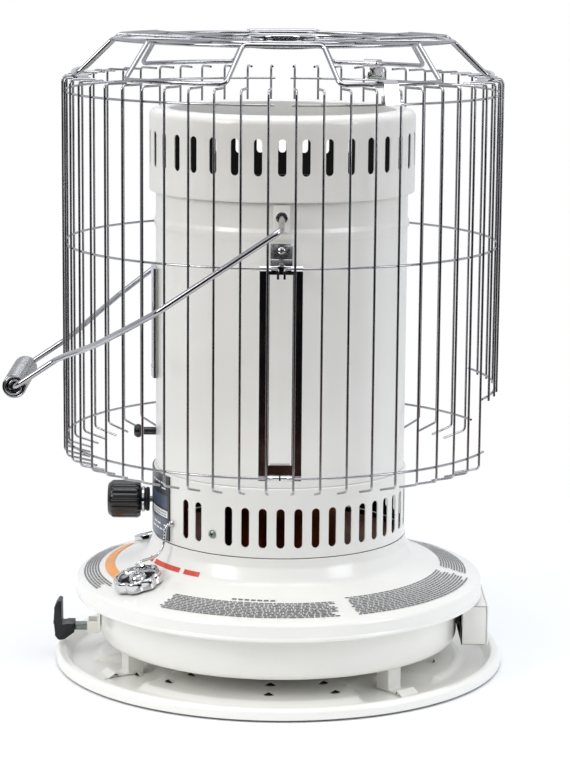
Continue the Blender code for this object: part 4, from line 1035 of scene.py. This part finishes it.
def makeLever():
    z, out = lever["height"], -lever["pivot"]
    bar = bmesh.new()
    addBlock(bar, (0.012, 0.022, 0.0062), Matrix.Translation((0, out - 0.010, z)), 0.0006, 2)
    addBlock(bar, (0.018, 0.0032, 0.0032), Matrix.Translation((0, out, z)), 0.0008, 2)
    meshPiece("leverBarStrip", bar, "zinc", "ignition_lever", ["lever_bar"])
    neck = out - 0.0213
    corners = [(neck, z + 0.0045), (neck, z - 0.0045), (neck - 0.0100, z - 0.0120, 0.003),
               (neck - 0.0160, z - 0.0128, 0.003),
               (neck - 0.0195, z - 0.0080, 0.004), (neck - 0.0210, z + 0.0060, 0.02),
               (neck - 0.0200, z + 0.0220, 0.008),
               (neck - 0.0160, z + 0.0285, 0.004), (neck - 0.0125, z + 0.0275, 0.002),
               (neck - 0.0125, z + 0.0030, 0.002),
               (neck - 0.0060, z + 0.0045, 0.003), (neck, z + 0.0045)]
    outline = profileOf(corners, 4)
    # the outer face carries fine level ridges
    ridged = []
    for (y, height), (y2, height2) in zip(outline, outline[1:]):
        ridged.append((y, height))
        if y < neck - 0.0190 and height2 > height and height2 - height > 0.004:
            count = int((height2 - height) / 0.0018)
            for k in range(count):
                s = (k + 0.5) / count
                ridged.append((y + (y2 - y) * s + 0.0007, height + (height2 - height) * s - 0.0003))
                ridged.append((y + (y2 - y) * s - 0.0000, height + (height2 - height) * s + 0.0006))
    pad = bmesh.new()
    across = [-0.011, -0.0104, 0.0104, 0.011]
    rings = []
    middleY = sum(y for y, _ in ridged) / len(ridged)
    middleZ = sum(h for _, h in ridged) / len(ridged)
    for i, x in enumerate(across):
        shrink = 0.96 if i in (0, 3) else 1.0
        rings.append([pad.verts.new((x, middleY + (y - middleY) * shrink, middleZ + (h - middleZ) * shrink))
                      for y, h in ridged])
    count = len(ridged)
    for near, far in zip(rings, rings[1:]):
        for k in range(count):
            pad.faces.new((near[k], near[(k + 1) % count], far[(k + 1) % count], far[k]))
    for ring in (rings[0], rings[-1]):
        pad.faces.new(ring)
    meshPiece("leverPadMoulding", pad, "nylon", "ignition_lever", ["lever_pad"], crease=45)
    refinish("enamel", "lever_bracket")


makeWindow()
makeKnob()
makeLever()
print("controls made")

# ---- guard
guard = {"radius": 0.214, "wires": 54, "wire": 0.0024, "low": 0.2165, "high": 0.5865, "mid": 0.425,
         "hook": 0.025, "inset": 0.0135,
         "notchLow": 0.279, "notchHalf": 23.5, "seam": 0.008, "bend": 0.0042, "weld": 0.0008, "fall": 15.0}


def arcPath(radius, height, first, last, pitch=1.5):
    steps = max(2, round(abs(last - first) / pitch))
    return [around(first + (last - first) * k / steps, radius, height) for k in range(steps + 1)]


def makeGuardHalf(name, node, start, end):
    r = guard["radius"] + guard["wire"] - guard["weld"]
    pitch = 360 / guard["wires"]
    paths = []
    for k in range(guard["wires"]):
        angle = pitch / 2 + pitch * k
        angle = angle if angle < end else angle - 360
        if not start < angle < end:
            continue
        notched = abs((angle - 90 + 180) % 360 - 180) < guard["notchHalf"]
        path = [around(angle, r - guard["hook"], guard["high"]), around(angle, r, guard["high"])]
        if notched:
            path.append(around(angle, r, guard["notchLow"]))
        else:
            drop = guard["hook"] * math.tan(math.radians(guard["fall"]))
            path += [around(angle, r, guard["low"]), around(angle, r - guard["hook"], guard["low"] - drop)]
        paths.append(bent(path, guard["bend"], 5))
    seam = math.degrees(guard["seam"] / guard["radius"])
    first, last = start + seam, end - seam
    low, rings = guard["low"] + guard["inset"], []
    rings.append((guard["high"] - guard["inset"], first, last))
    if start < 90 < end:
        rings += [(low, first, 90 - guard["notchHalf"] + 1), (low, 90 + guard["notchHalf"] - 1, last)]
        rings.append((guard["notchLow"] + 0.004, 90 - guard["notchHalf"] - 1, 90 + guard["notchHalf"] + 1))
    else:
        rings.append((low, first, last))
    for height, a, b in rings:
        paths.append(arcPath(guard["radius"], height, a, b))
    # the middle ring's ends turn down beside the seam as two short prongs
    prong = 0.0095
    inner = math.degrees(0.0030 / guard["radius"])
    middle = [around(start + inner, guard["radius"], guard["mid"] - prong),
              *arcPath(guard["radius"], guard["mid"], start + inner, end - inner),
              around(end - inner, guard["radius"], guard["mid"] - prong)]
    paths.append(bent(middle, 0.0028, 4))
    wirePiece(name, paths, guard["wire"], "wire", "root", [node])
    tips = bmesh.new()
    for a in (first, last):
        bmesh.ops.create_uvsphere(tips, u_segments=16, v_segments=10, radius=guard["wire"] * 0.75,
                                  matrix=Matrix.Translation(around(a, guard["radius"], low)))
    meshPiece(name + "RingTips", tips, "chrome")


def makeJoint(side, angle):
    # chromed channel across the seam, its bracket to the drum and the screw
    low, high = guard["low"] + guard["inset"] - 0.003, guard["mid"] + 0.002
    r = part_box(f"guard_plate_{side}")[1][0] if angle == 0 else -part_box(f"guard_plate_{side}")[0][0]
    r -= 0.0006
    shape = bmesh.new()
    place = placed(angle, r, 0)
    wide, gap, t = 0.040, 0.021, 0.0012
    bar = (wide - gap) / 2
    for way in (-1, 1):
        middle = way * (gap + bar) / 2
        addBlock(shape, (t, bar, high - low), place @ Matrix.Translation((0, middle, (low + high) / 2)), 0.0003,
                 1)
        addBlock(shape, (0.0026, 0.0008, high - low - 0.026),
                 place @ Matrix.Translation((-0.0013, way * (gap / 2 + 0.0004), (low + high) / 2 + 0.004)),
                 0.0002, 1)
    addBlock(shape, (t, gap + 0.001, 0.008), place @ Matrix.Translation((0, 0, high - 0.004)), 0.0003, 1)
    addBlock(shape, (t, gap + 0.001, 0.0155), place @ Matrix.Translation((0, 0, low + 0.00775)), 0.0003, 1)
    lip = profileOf([(0.0006, 0.0), (-0.0006, 0.0006, 0.0006), (-0.0040, 0.0006)])
    bentPlate(shape, lip, gap - 0.002, 0.0008, place @ Matrix.Translation((0, 0, low + 0.0155)))
    for height in (low + 0.003, high - 0.002):
        for way in (-1, 1):
            curl = [Vector((0.0024 + 0.0024 * math.cos(math.radians(a)), 0,
                            0.0024 * math.sin(math.radians(a)))) for a in range(-200, 61, 20)]
            bentPlate(shape, [(p.x, p.z) for p in curl], 0.0105, 0.0007,
                      place @ Matrix.Translation((0.0002, way * (0.0060 if height < 0.3 else 0.0145), height)))
    meshPiece(f"jointPlate_{side}", shape, "chrome", "root", [f"guard_plate_{side}"])
    bracket = bmesh.new()
    inside = drum["radius"] + drum["beadDepth"] + 0.0003
    reach = r - 0.0009
    shelf = profileOf([(inside, guard["mid"] + 0.0125), (inside, guard["mid"] - 0.004, 0.0018),
                       (reach, guard["mid"] - 0.004)])
    bentPlate(bracket, shelf, 0.021, 0.0014, Matrix.Rotation(math.radians(angle), 4, "Z"))
    meshPiece(f"guardBracketFold_{side}", bracket, "chrome", "root", [f"guard_bracket_{side}"])
    makeScrew(f"bracketScrew_{side}", facing(angle, inside + 0.0016, guard["mid"] + 0.006), 0.0036,
              f"bracket_screw_{side}", "chrome")
    tab = bmesh.new()
    addBlock(tab, (0.0014, 0.0157, 0.026), placed(angle, drum["radius"] + drum["beadDepth"] + 0.0011, 0.461),
             0.0006, 3)
    meshPiece(f"handleTabPlate_{side}", tab, "enamel", "root", [f"handle_tab_{side}"])
    eye = profileOf([(0.0034, 0.0), (0.0058, 0.0, 0.0003), (0.0056, 0.0008, 0.0004), (0.0042, 0.0010, 0.0004),
                     (0.0034, 0.0002)])
    turnedPiece(f"handleTabEyelet_{side}", eye, "chrome", "root", (), 40,
                facing(angle, drum["radius"] + drum["beadDepth"] + 0.0019, 0.462))
    # painted shade: a dark disc inside the eyelet stands for the hole
    turnedPiece(f"handleTabHoleShade_{side}", [(0.0, 0.0), (0.0044, 0.0)], "inside", "root", (), 32,
                facing(angle, drum["radius"] + drum["beadDepth"] + 0.0020, 0.462))


makeGuardHalf("guardFrontWires", "guard_front", -180.0, 0.0)
makeGuardHalf("guardRearWires", "guard_rear", 0.0, 180.0)
makeJoint("left", 0.0)
makeJoint("right", 180.0)
print("guard made")

# ---- carrying handle
handle = {"pivot": 0.462, "rod": 0.0058, "half": 0.2285, "reach": 0.3145, "drop": 34.0, "straight": 0.135,
          "neck": 0.064,
          "shoulder": ((0.80, 0.040), (0.60, 0.073), (0.36, 0.096), (0.13, 0.115)), "grip": 0.012,
          "gripLength": 0.113, "coil": 0.0024}


def makeHandle():
    drop = math.radians(handle["drop"])

    def at(x, reach):
        return Vector((x, -reach * math.cos(drop), handle["pivot"] - reach * math.sin(drop)))

    wide, end, reach = handle["half"], handle["gripLength"] / 2, handle["reach"]
    neck, straight = handle["neck"], handle["straight"]
    half = [(drum["radius"] - 0.007, 0), (wide, 0), (wide, straight)]
    half += [(neck + (wide - neck) * share, straight + fall) for share, fall in handle["shoulder"]]
    half += [(neck, straight + 0.130), (neck, reach), (0.0, reach)]
    path = [at(x, s) for x, s in half] + [at(-x, s) for x, s in reversed(half[:-1])]
    wirePiece("handleBailRod", [bent(path, 0.010, 6)], handle["rod"], "wire", "handle", ["handle_bail"],
              roundness=5)
    turns = int(handle["gripLength"] / handle["coil"])
    radius = handle["grip"] - handle["coil"] / 2
    coil = []
    count = turns * 24
    for k in range(count + 1):
        turn = math.tau * k / 24
        x = -end + handle["coil"] / 2 + (handle["gripLength"] - handle["coil"]) * k / count
        centre = at(x, reach)
        coil.append(centre + Vector((0, radius * math.cos(turn), radius * math.sin(turn))))
    # each end of the coil winds inwards onto the rod
    for first in (True, False):
        tail = []
        for k in range(1, 40):
            turn = math.tau * k / 24
            close = radius - (radius - 0.0044) * k / 39
            spot = at(-end + handle["coil"] / 2 if first else end - handle["coil"] / 2, reach)
            sign = -1 if first else 1
            tail.append(spot + Vector((0, close * math.cos(sign * turn), close * math.sin(sign * turn))))
        coil = tail[::-1] + coil if first else coil + tail
    wirePiece("handleGripCoil", [coil], handle["coil"] * 0.96, "wire", "handle", ["handle_grip"], roundness=2)


makeHandle()
print("handle made")

# ---- top guard and clips
dome = {"rod": 0.0045, "radius": 0.205, "topRadius": 0.171, "low": 0.59097, "rise": 0.036, "petals": 6,
        "rings": (0.161, 0.093, 0.033),
        "bend": 0.009}


def makeDome():
    top = dome["low"] + dome["rise"] - dome["rod"] / 2
    rim = []
    for k in range(dome["petals"]):
        middle = 60 * k + 30
        low = arcPath(dome["radius"], dome["low"], middle - 15.4, middle + 15.4, 3.08)
        high = arcPath(dome["topRadius"], top, middle + 17.6, middle + 42.4, 3.1)
        rim += [*low, *high]
    # only the four corners of each petal are bent tight
    path = []
    count = len(rim)
    for i, point in enumerate(rim):
        before, after = rim[i - 1], rim[(i + 1) % count]
        turn = math.pi - (before - point).angle(after - point)
        if turn > 0.5:
            path += bent([before, point, after], dome["bend"], 6)[1:-1]
        else:
            path.append(point)
    wirePiece("topGuardRim", [path], dome["rod"], "wire", "top_guard", ["top_guard"], closed=(0,), roundness=4)
    rings = [arcPath(r, top - 0.0012 - (0.002 if r < 0.05 else 0), 0, 360, 2.5 if r > 0.05 else 6)[:-1]
             for r in dome["rings"]]
    wirePiece("topGuardRings", rings, dome["rod"] * 0.8, "wire", "top_guard", closed=(0, 1, 2), roundness=4)
    spokes = []
    for k in range(dome["petals"]):
        middle = 60 * k + 30
        for angle in (middle - 17.6, middle + 17.6):
            spokes.append([around(angle, dome["topRadius"], top),
                           around(angle, dome["rings"][1] - 0.001, top - 0.002)])
        spokes.append([around(60 * k, dome["rings"][1] + 0.001, top - 0.002),
                       around(60 * k, dome["rings"][2] - 0.002, top - 0.003)])
    wirePiece("topGuardSpokes", spokes, dome["rod"] * 0.7, "wire", "top_guard", roundness=3)
    cup = bmesh.new()
    r, low = dome["rings"][2] - 0.0012, top - 0.010
    half = math.degrees(0.0028 / r)
    columns = slotColumns([30 * k for k in range(12)], half, 6, 4)
    angles = addSlottedWall(cup, columns, r, 0.0010, low + 0.0012, top - 0.0006, low + 0.0022, top - 0.0018,
                            0.0056)
    addCollar(cup, profileOf([(r, top - 0.0006), (r, top + 0.0004, 0.0006), (r + 0.0022, top + 0.0008)]),
              0.0008, angles)
    base = profileOf([(0.0, low), (r, low, 0.0012), (r, low + 0.0012)])
    ring = [*angles, angles[0] + 360]
    addTurned(cup, base, angles=ring)
    addTurned(cup, offsetProfile(base, 0.0008), angles=ring)
    meshPiece("topGuardCup", cup, ["chrome", "chrome"], "top_guard")


clips = {"near": 26.667, "far": 153.333, "width": 0.015, "sheet": 0.0013, "hang": 0.018}


def makeClip(side, angle):
    place = placed(angle, dome["radius"], dome["low"])
    shape = bmesh.new()
    w, t = clips["width"], clips["sheet"]
    hug = dome["rod"] / 2 + 0.0004
    out = guard["radius"] + guard["wire"] * 2 + 0.002 - dome["radius"]
    path = [(-hug * 0.4, -hug), (-hug, -hug * 0.3), (-hug, hug * 0.4), (-hug * 0.5, hug * 0.95),
            (hug * 0.5, hug * 1.15), (out * 0.7, hug * 1.0),
            (out - 0.0030, hug * 0.2), (out - 0.0022, -0.006), (out - 0.0008, -0.012),
            (out + 0.0006, -clips["hang"])]
    points = bent([Vector((x, 0, z)) for x, z in path], 0.003, 4)
    bentPlate(shape, [(p.x, p.z) for p in points], w, t, place)
    for way in (-1, 1):
        ear = place @ Matrix.Translation((out - 0.0022, way * (w / 2 + 0.0004), -clips["hang"] + 0.0042))
        addBlock(shape, (0.0066, 0.0011, 0.0082), ear, 0.0004, 2)
    meshPiece(f"clipSpring_{side}", shape, "chrome", f"clip_{side}", [f"clip_{side}"], crease=30)
    axle = place @ Matrix.Translation((out - 0.0022, 0, -clips["hang"] + 0.0022)) @ Matrix.Rotation(math.pi / 2,
            4, "X")
    turnedPiece(f"clipAxle_{side}",
                profileOf([(0.0, -w / 2 - 0.0022), (0.0014, -w / 2 - 0.0022), (0.0014, w / 2 + 0.001),
                           (0.0, w / 2 + 0.001)]), "zinc", f"clip_{side}", (), 20, axle)
    nut = bmesh.new()
    rows = []
    for radius, height, cut in ((0.0, 0.0, 0), (0.0026, 0.0, 0), (0.0031, 0.0005, 1), (0.0031, 0.0032, 1),
                                (0.0026, 0.0037, 0), (0.0, 0.0037, 0)):
        row = []
        for k in range(36 if radius else 1):
            reach, turn = radius - 0.0003 * cut * (k % 2), math.tau * k / 36
            row.append(nut.verts.new((reach * math.cos(turn), reach * math.sin(turn), height)))
        rows.append(row)
    stitch(nut, rows, 36)
    meshPiece(f"clipNut_{side}", nut, "chrome", f"clip_{side}", (), 30,
              axle @ Matrix.Translation((0, 0, -w / 2 - 0.0045)))


makeDome()
for side in ("near", "far"):
    makeClip(side, clips[side])
print("top guard and clips made")

# ---- battery case and the working parts inside
def makeBatteryCase():
    low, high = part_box("battery_case")
    t = 0.0015
    shape = bmesh.new()
    size = [high[i] - low[i] for i in range(3)]
    middle = [(high[i] + low[i]) / 2 for i in range(3)]
    addBlock(shape, (size[0], t, size[2]), Matrix.Translation((middle[0], low[1] + t / 2, middle[2])), 0.0005,
             2)
    for way in (-1, 1):
        addBlock(shape, (t, size[1], size[2]),
                 Matrix.Translation((middle[0] + way * (size[0] - t) / 2, middle[1], middle[2])), 0.0005, 2)
        addBlock(shape, (size[0], size[1], t),
                 Matrix.Translation((middle[0], middle[1], middle[2] + way * (size[2] - t) / 2)), 0.0005, 2)
    meshPiece("batteryCaseShell", shape, "enamel", "root", ["battery_case"])
    low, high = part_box("battery_cover")
    size = [high[i] - low[i] for i in range(3)]
    middle = [(high[i] + low[i]) / 2 for i in range(3)]
    cover = bmesh.new()
    addBlock(cover, size, Matrix.Translation(middle), 0.0007, 3)
    meshPiece("batteryCoverPlate", cover, "enamel", "battery_cover", ["battery_cover"])
    refinish("cell", "battery_1", "battery_2")


makeBatteryCase()
refinish("brass", "wick_guide")
refinish("tube", "air_tube", "wick_holder", "outer_flame_tube", "inner_flame_tube", "flame_spreader")
refinish("wick", "wick")
print("working parts finished:", ", ".join(sorted(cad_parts))[:60])

# ---- floor, light and surroundings
studio = {"floor": "#F4F5F6", "floorReach": 1.05, "key": 26, "fill": 16, "top": 22}


def makeStudio():
    floorFinish = bpy.data.materials.new("paintedStudioFloor")
    floorFinish.use_nodes = True
    tree = floorFinish.node_tree
    shader = tree.nodes["Principled BSDF"]
    shader.inputs["Base Color"].default_value = hexToLinear(studio["floor"])
    shader.inputs["Roughness"].default_value = 0.7
    out = tree.nodes["Material Output"]
    place = addNode(tree, "ShaderNodeTexCoord")
    length = addNode(tree, "ShaderNodeVectorMath", {"operation": "LENGTH"}, {0: place.outputs["Object"]})
    fade = addNode(tree, "ShaderNodeMapRange",
                   {"From Min": 0.55, "From Max": studio["floorReach"], "interpolation_type": "SMOOTHSTEP"},
                   {"Value": length.outputs["Value"]})
    clear = addNode(tree, "ShaderNodeBsdfTransparent")
    mixed = addNode(tree, "ShaderNodeMixShader", None,
                    {0: fade.outputs["Result"], 1: shader.outputs["BSDF"], 2: clear.outputs["BSDF"]})
    tree.links.new(mixed.outputs["Shader"], out.inputs["Surface"])
    shape = bmesh.new()
    bmesh.ops.create_circle(shape, cap_ends=True, segments=96, radius=studio["floorReach"] + 0.1)
    mesh = bpy.data.meshes.new("studioFloor")
    shape.to_mesh(mesh)
    shape.free()
    floor = bpy.data.objects.new("studioFloor", mesh)
    floor.location.z = -0.0006
    mesh.materials.append(floorFinish)
    bpy.context.collection.objects.link(floor)

    world = bpy.data.worlds.new("studioRoom")
    bpy.context.scene.world = world
    world.use_nodes = True
    tree = world.node_tree
    back = tree.nodes["Background"]
    path = addNode(tree, "ShaderNodeLightPath")
    where = addNode(tree, "ShaderNodeTexCoord")
    parts = addNode(tree, "ShaderNodeSeparateXYZ", None, {0: where.outputs["Generated"]})
    # the room is dark towards +X, warm brown low down there, and pale everywhere else
    tint = addNode(tree, "ShaderNodeMapRange", {"From Min": -0.24, "From Max": -0.20},
                   {"Value": parts.outputs["Z"]})
    dark = addNode(tree, "ShaderNodeMix",
                   {"data_type": "RGBA", 6: hexToLinear("#5A3424"), 7: hexToLinear("#0E0E10")},
                   {0: tint.outputs["Result"]})
    side = addNode(tree, "ShaderNodeMapRange",
                   {"From Min": -0.1, "From Max": 0.35, "interpolation_type": "SMOOTHSTEP"},
                   {"Value": parts.outputs["X"]})
    over = addNode(tree, "ShaderNodeMapRange",
                   {"From Min": 0.25, "From Max": 0.5, "To Min": 1.0, "To Max": 0.0},
                   {"Value": parts.outputs["Z"]})
    mask = addNode(tree, "ShaderNodeMath", {"operation": "MULTIPLY"},
                   {0: side.outputs["Result"], 1: over.outputs["Result"]})
    room = addNode(tree, "ShaderNodeMix", {"data_type": "RGBA", 6: [0.80, 0.82, 0.86, 1.0]},
                   {0: mask.outputs["Value"], 7: dark.outputs[2]})
    seen = addNode(tree, "ShaderNodeMix", {"data_type": "RGBA", 7: [1.0, 1.0, 1.0, 1.0]},
                   {0: path.outputs["Is Camera Ray"], 6: room.outputs[2]})
    tree.links.new(seen.outputs[2], back.inputs["Color"])
    back.inputs["Strength"].default_value = 1.0

    def softbox(name, spot, aim, size, power, colour):
        light = bpy.data.lights.new(name, "AREA")
        light.shape = "RECTANGLE"
        light.size, light.size_y = size
        light.energy = power
        light.color = hexToLinear(colour)[:3]
        made = bpy.data.objects.new(name, light)
        bpy.context.collection.objects.link(made)
        made.location = spot
        made.rotation_euler = (Vector(aim) - Vector(spot)).to_track_quat("-Z", "Y").to_euler()

    softbox("softboxLeft", (1.5, -1.9, 1.5), (0, 0, 0.3), (0.9, 1.4), studio["key"], "#FFFDFA")
    softbox("softboxRight", (1.3, 2.1, 1.2), (0, 0, 0.3), (0.9, 1.4), studio["fill"], "#F6F9FF")
    softbox("softboxTop", (0.2, 0, 2.4), (0, 0, 0.3), (1.6, 1.6), studio["top"], "#FFFFFF")


makeStudio()
bpy.context.scene.view_settings.view_transform = "Standard"
print("studio made")
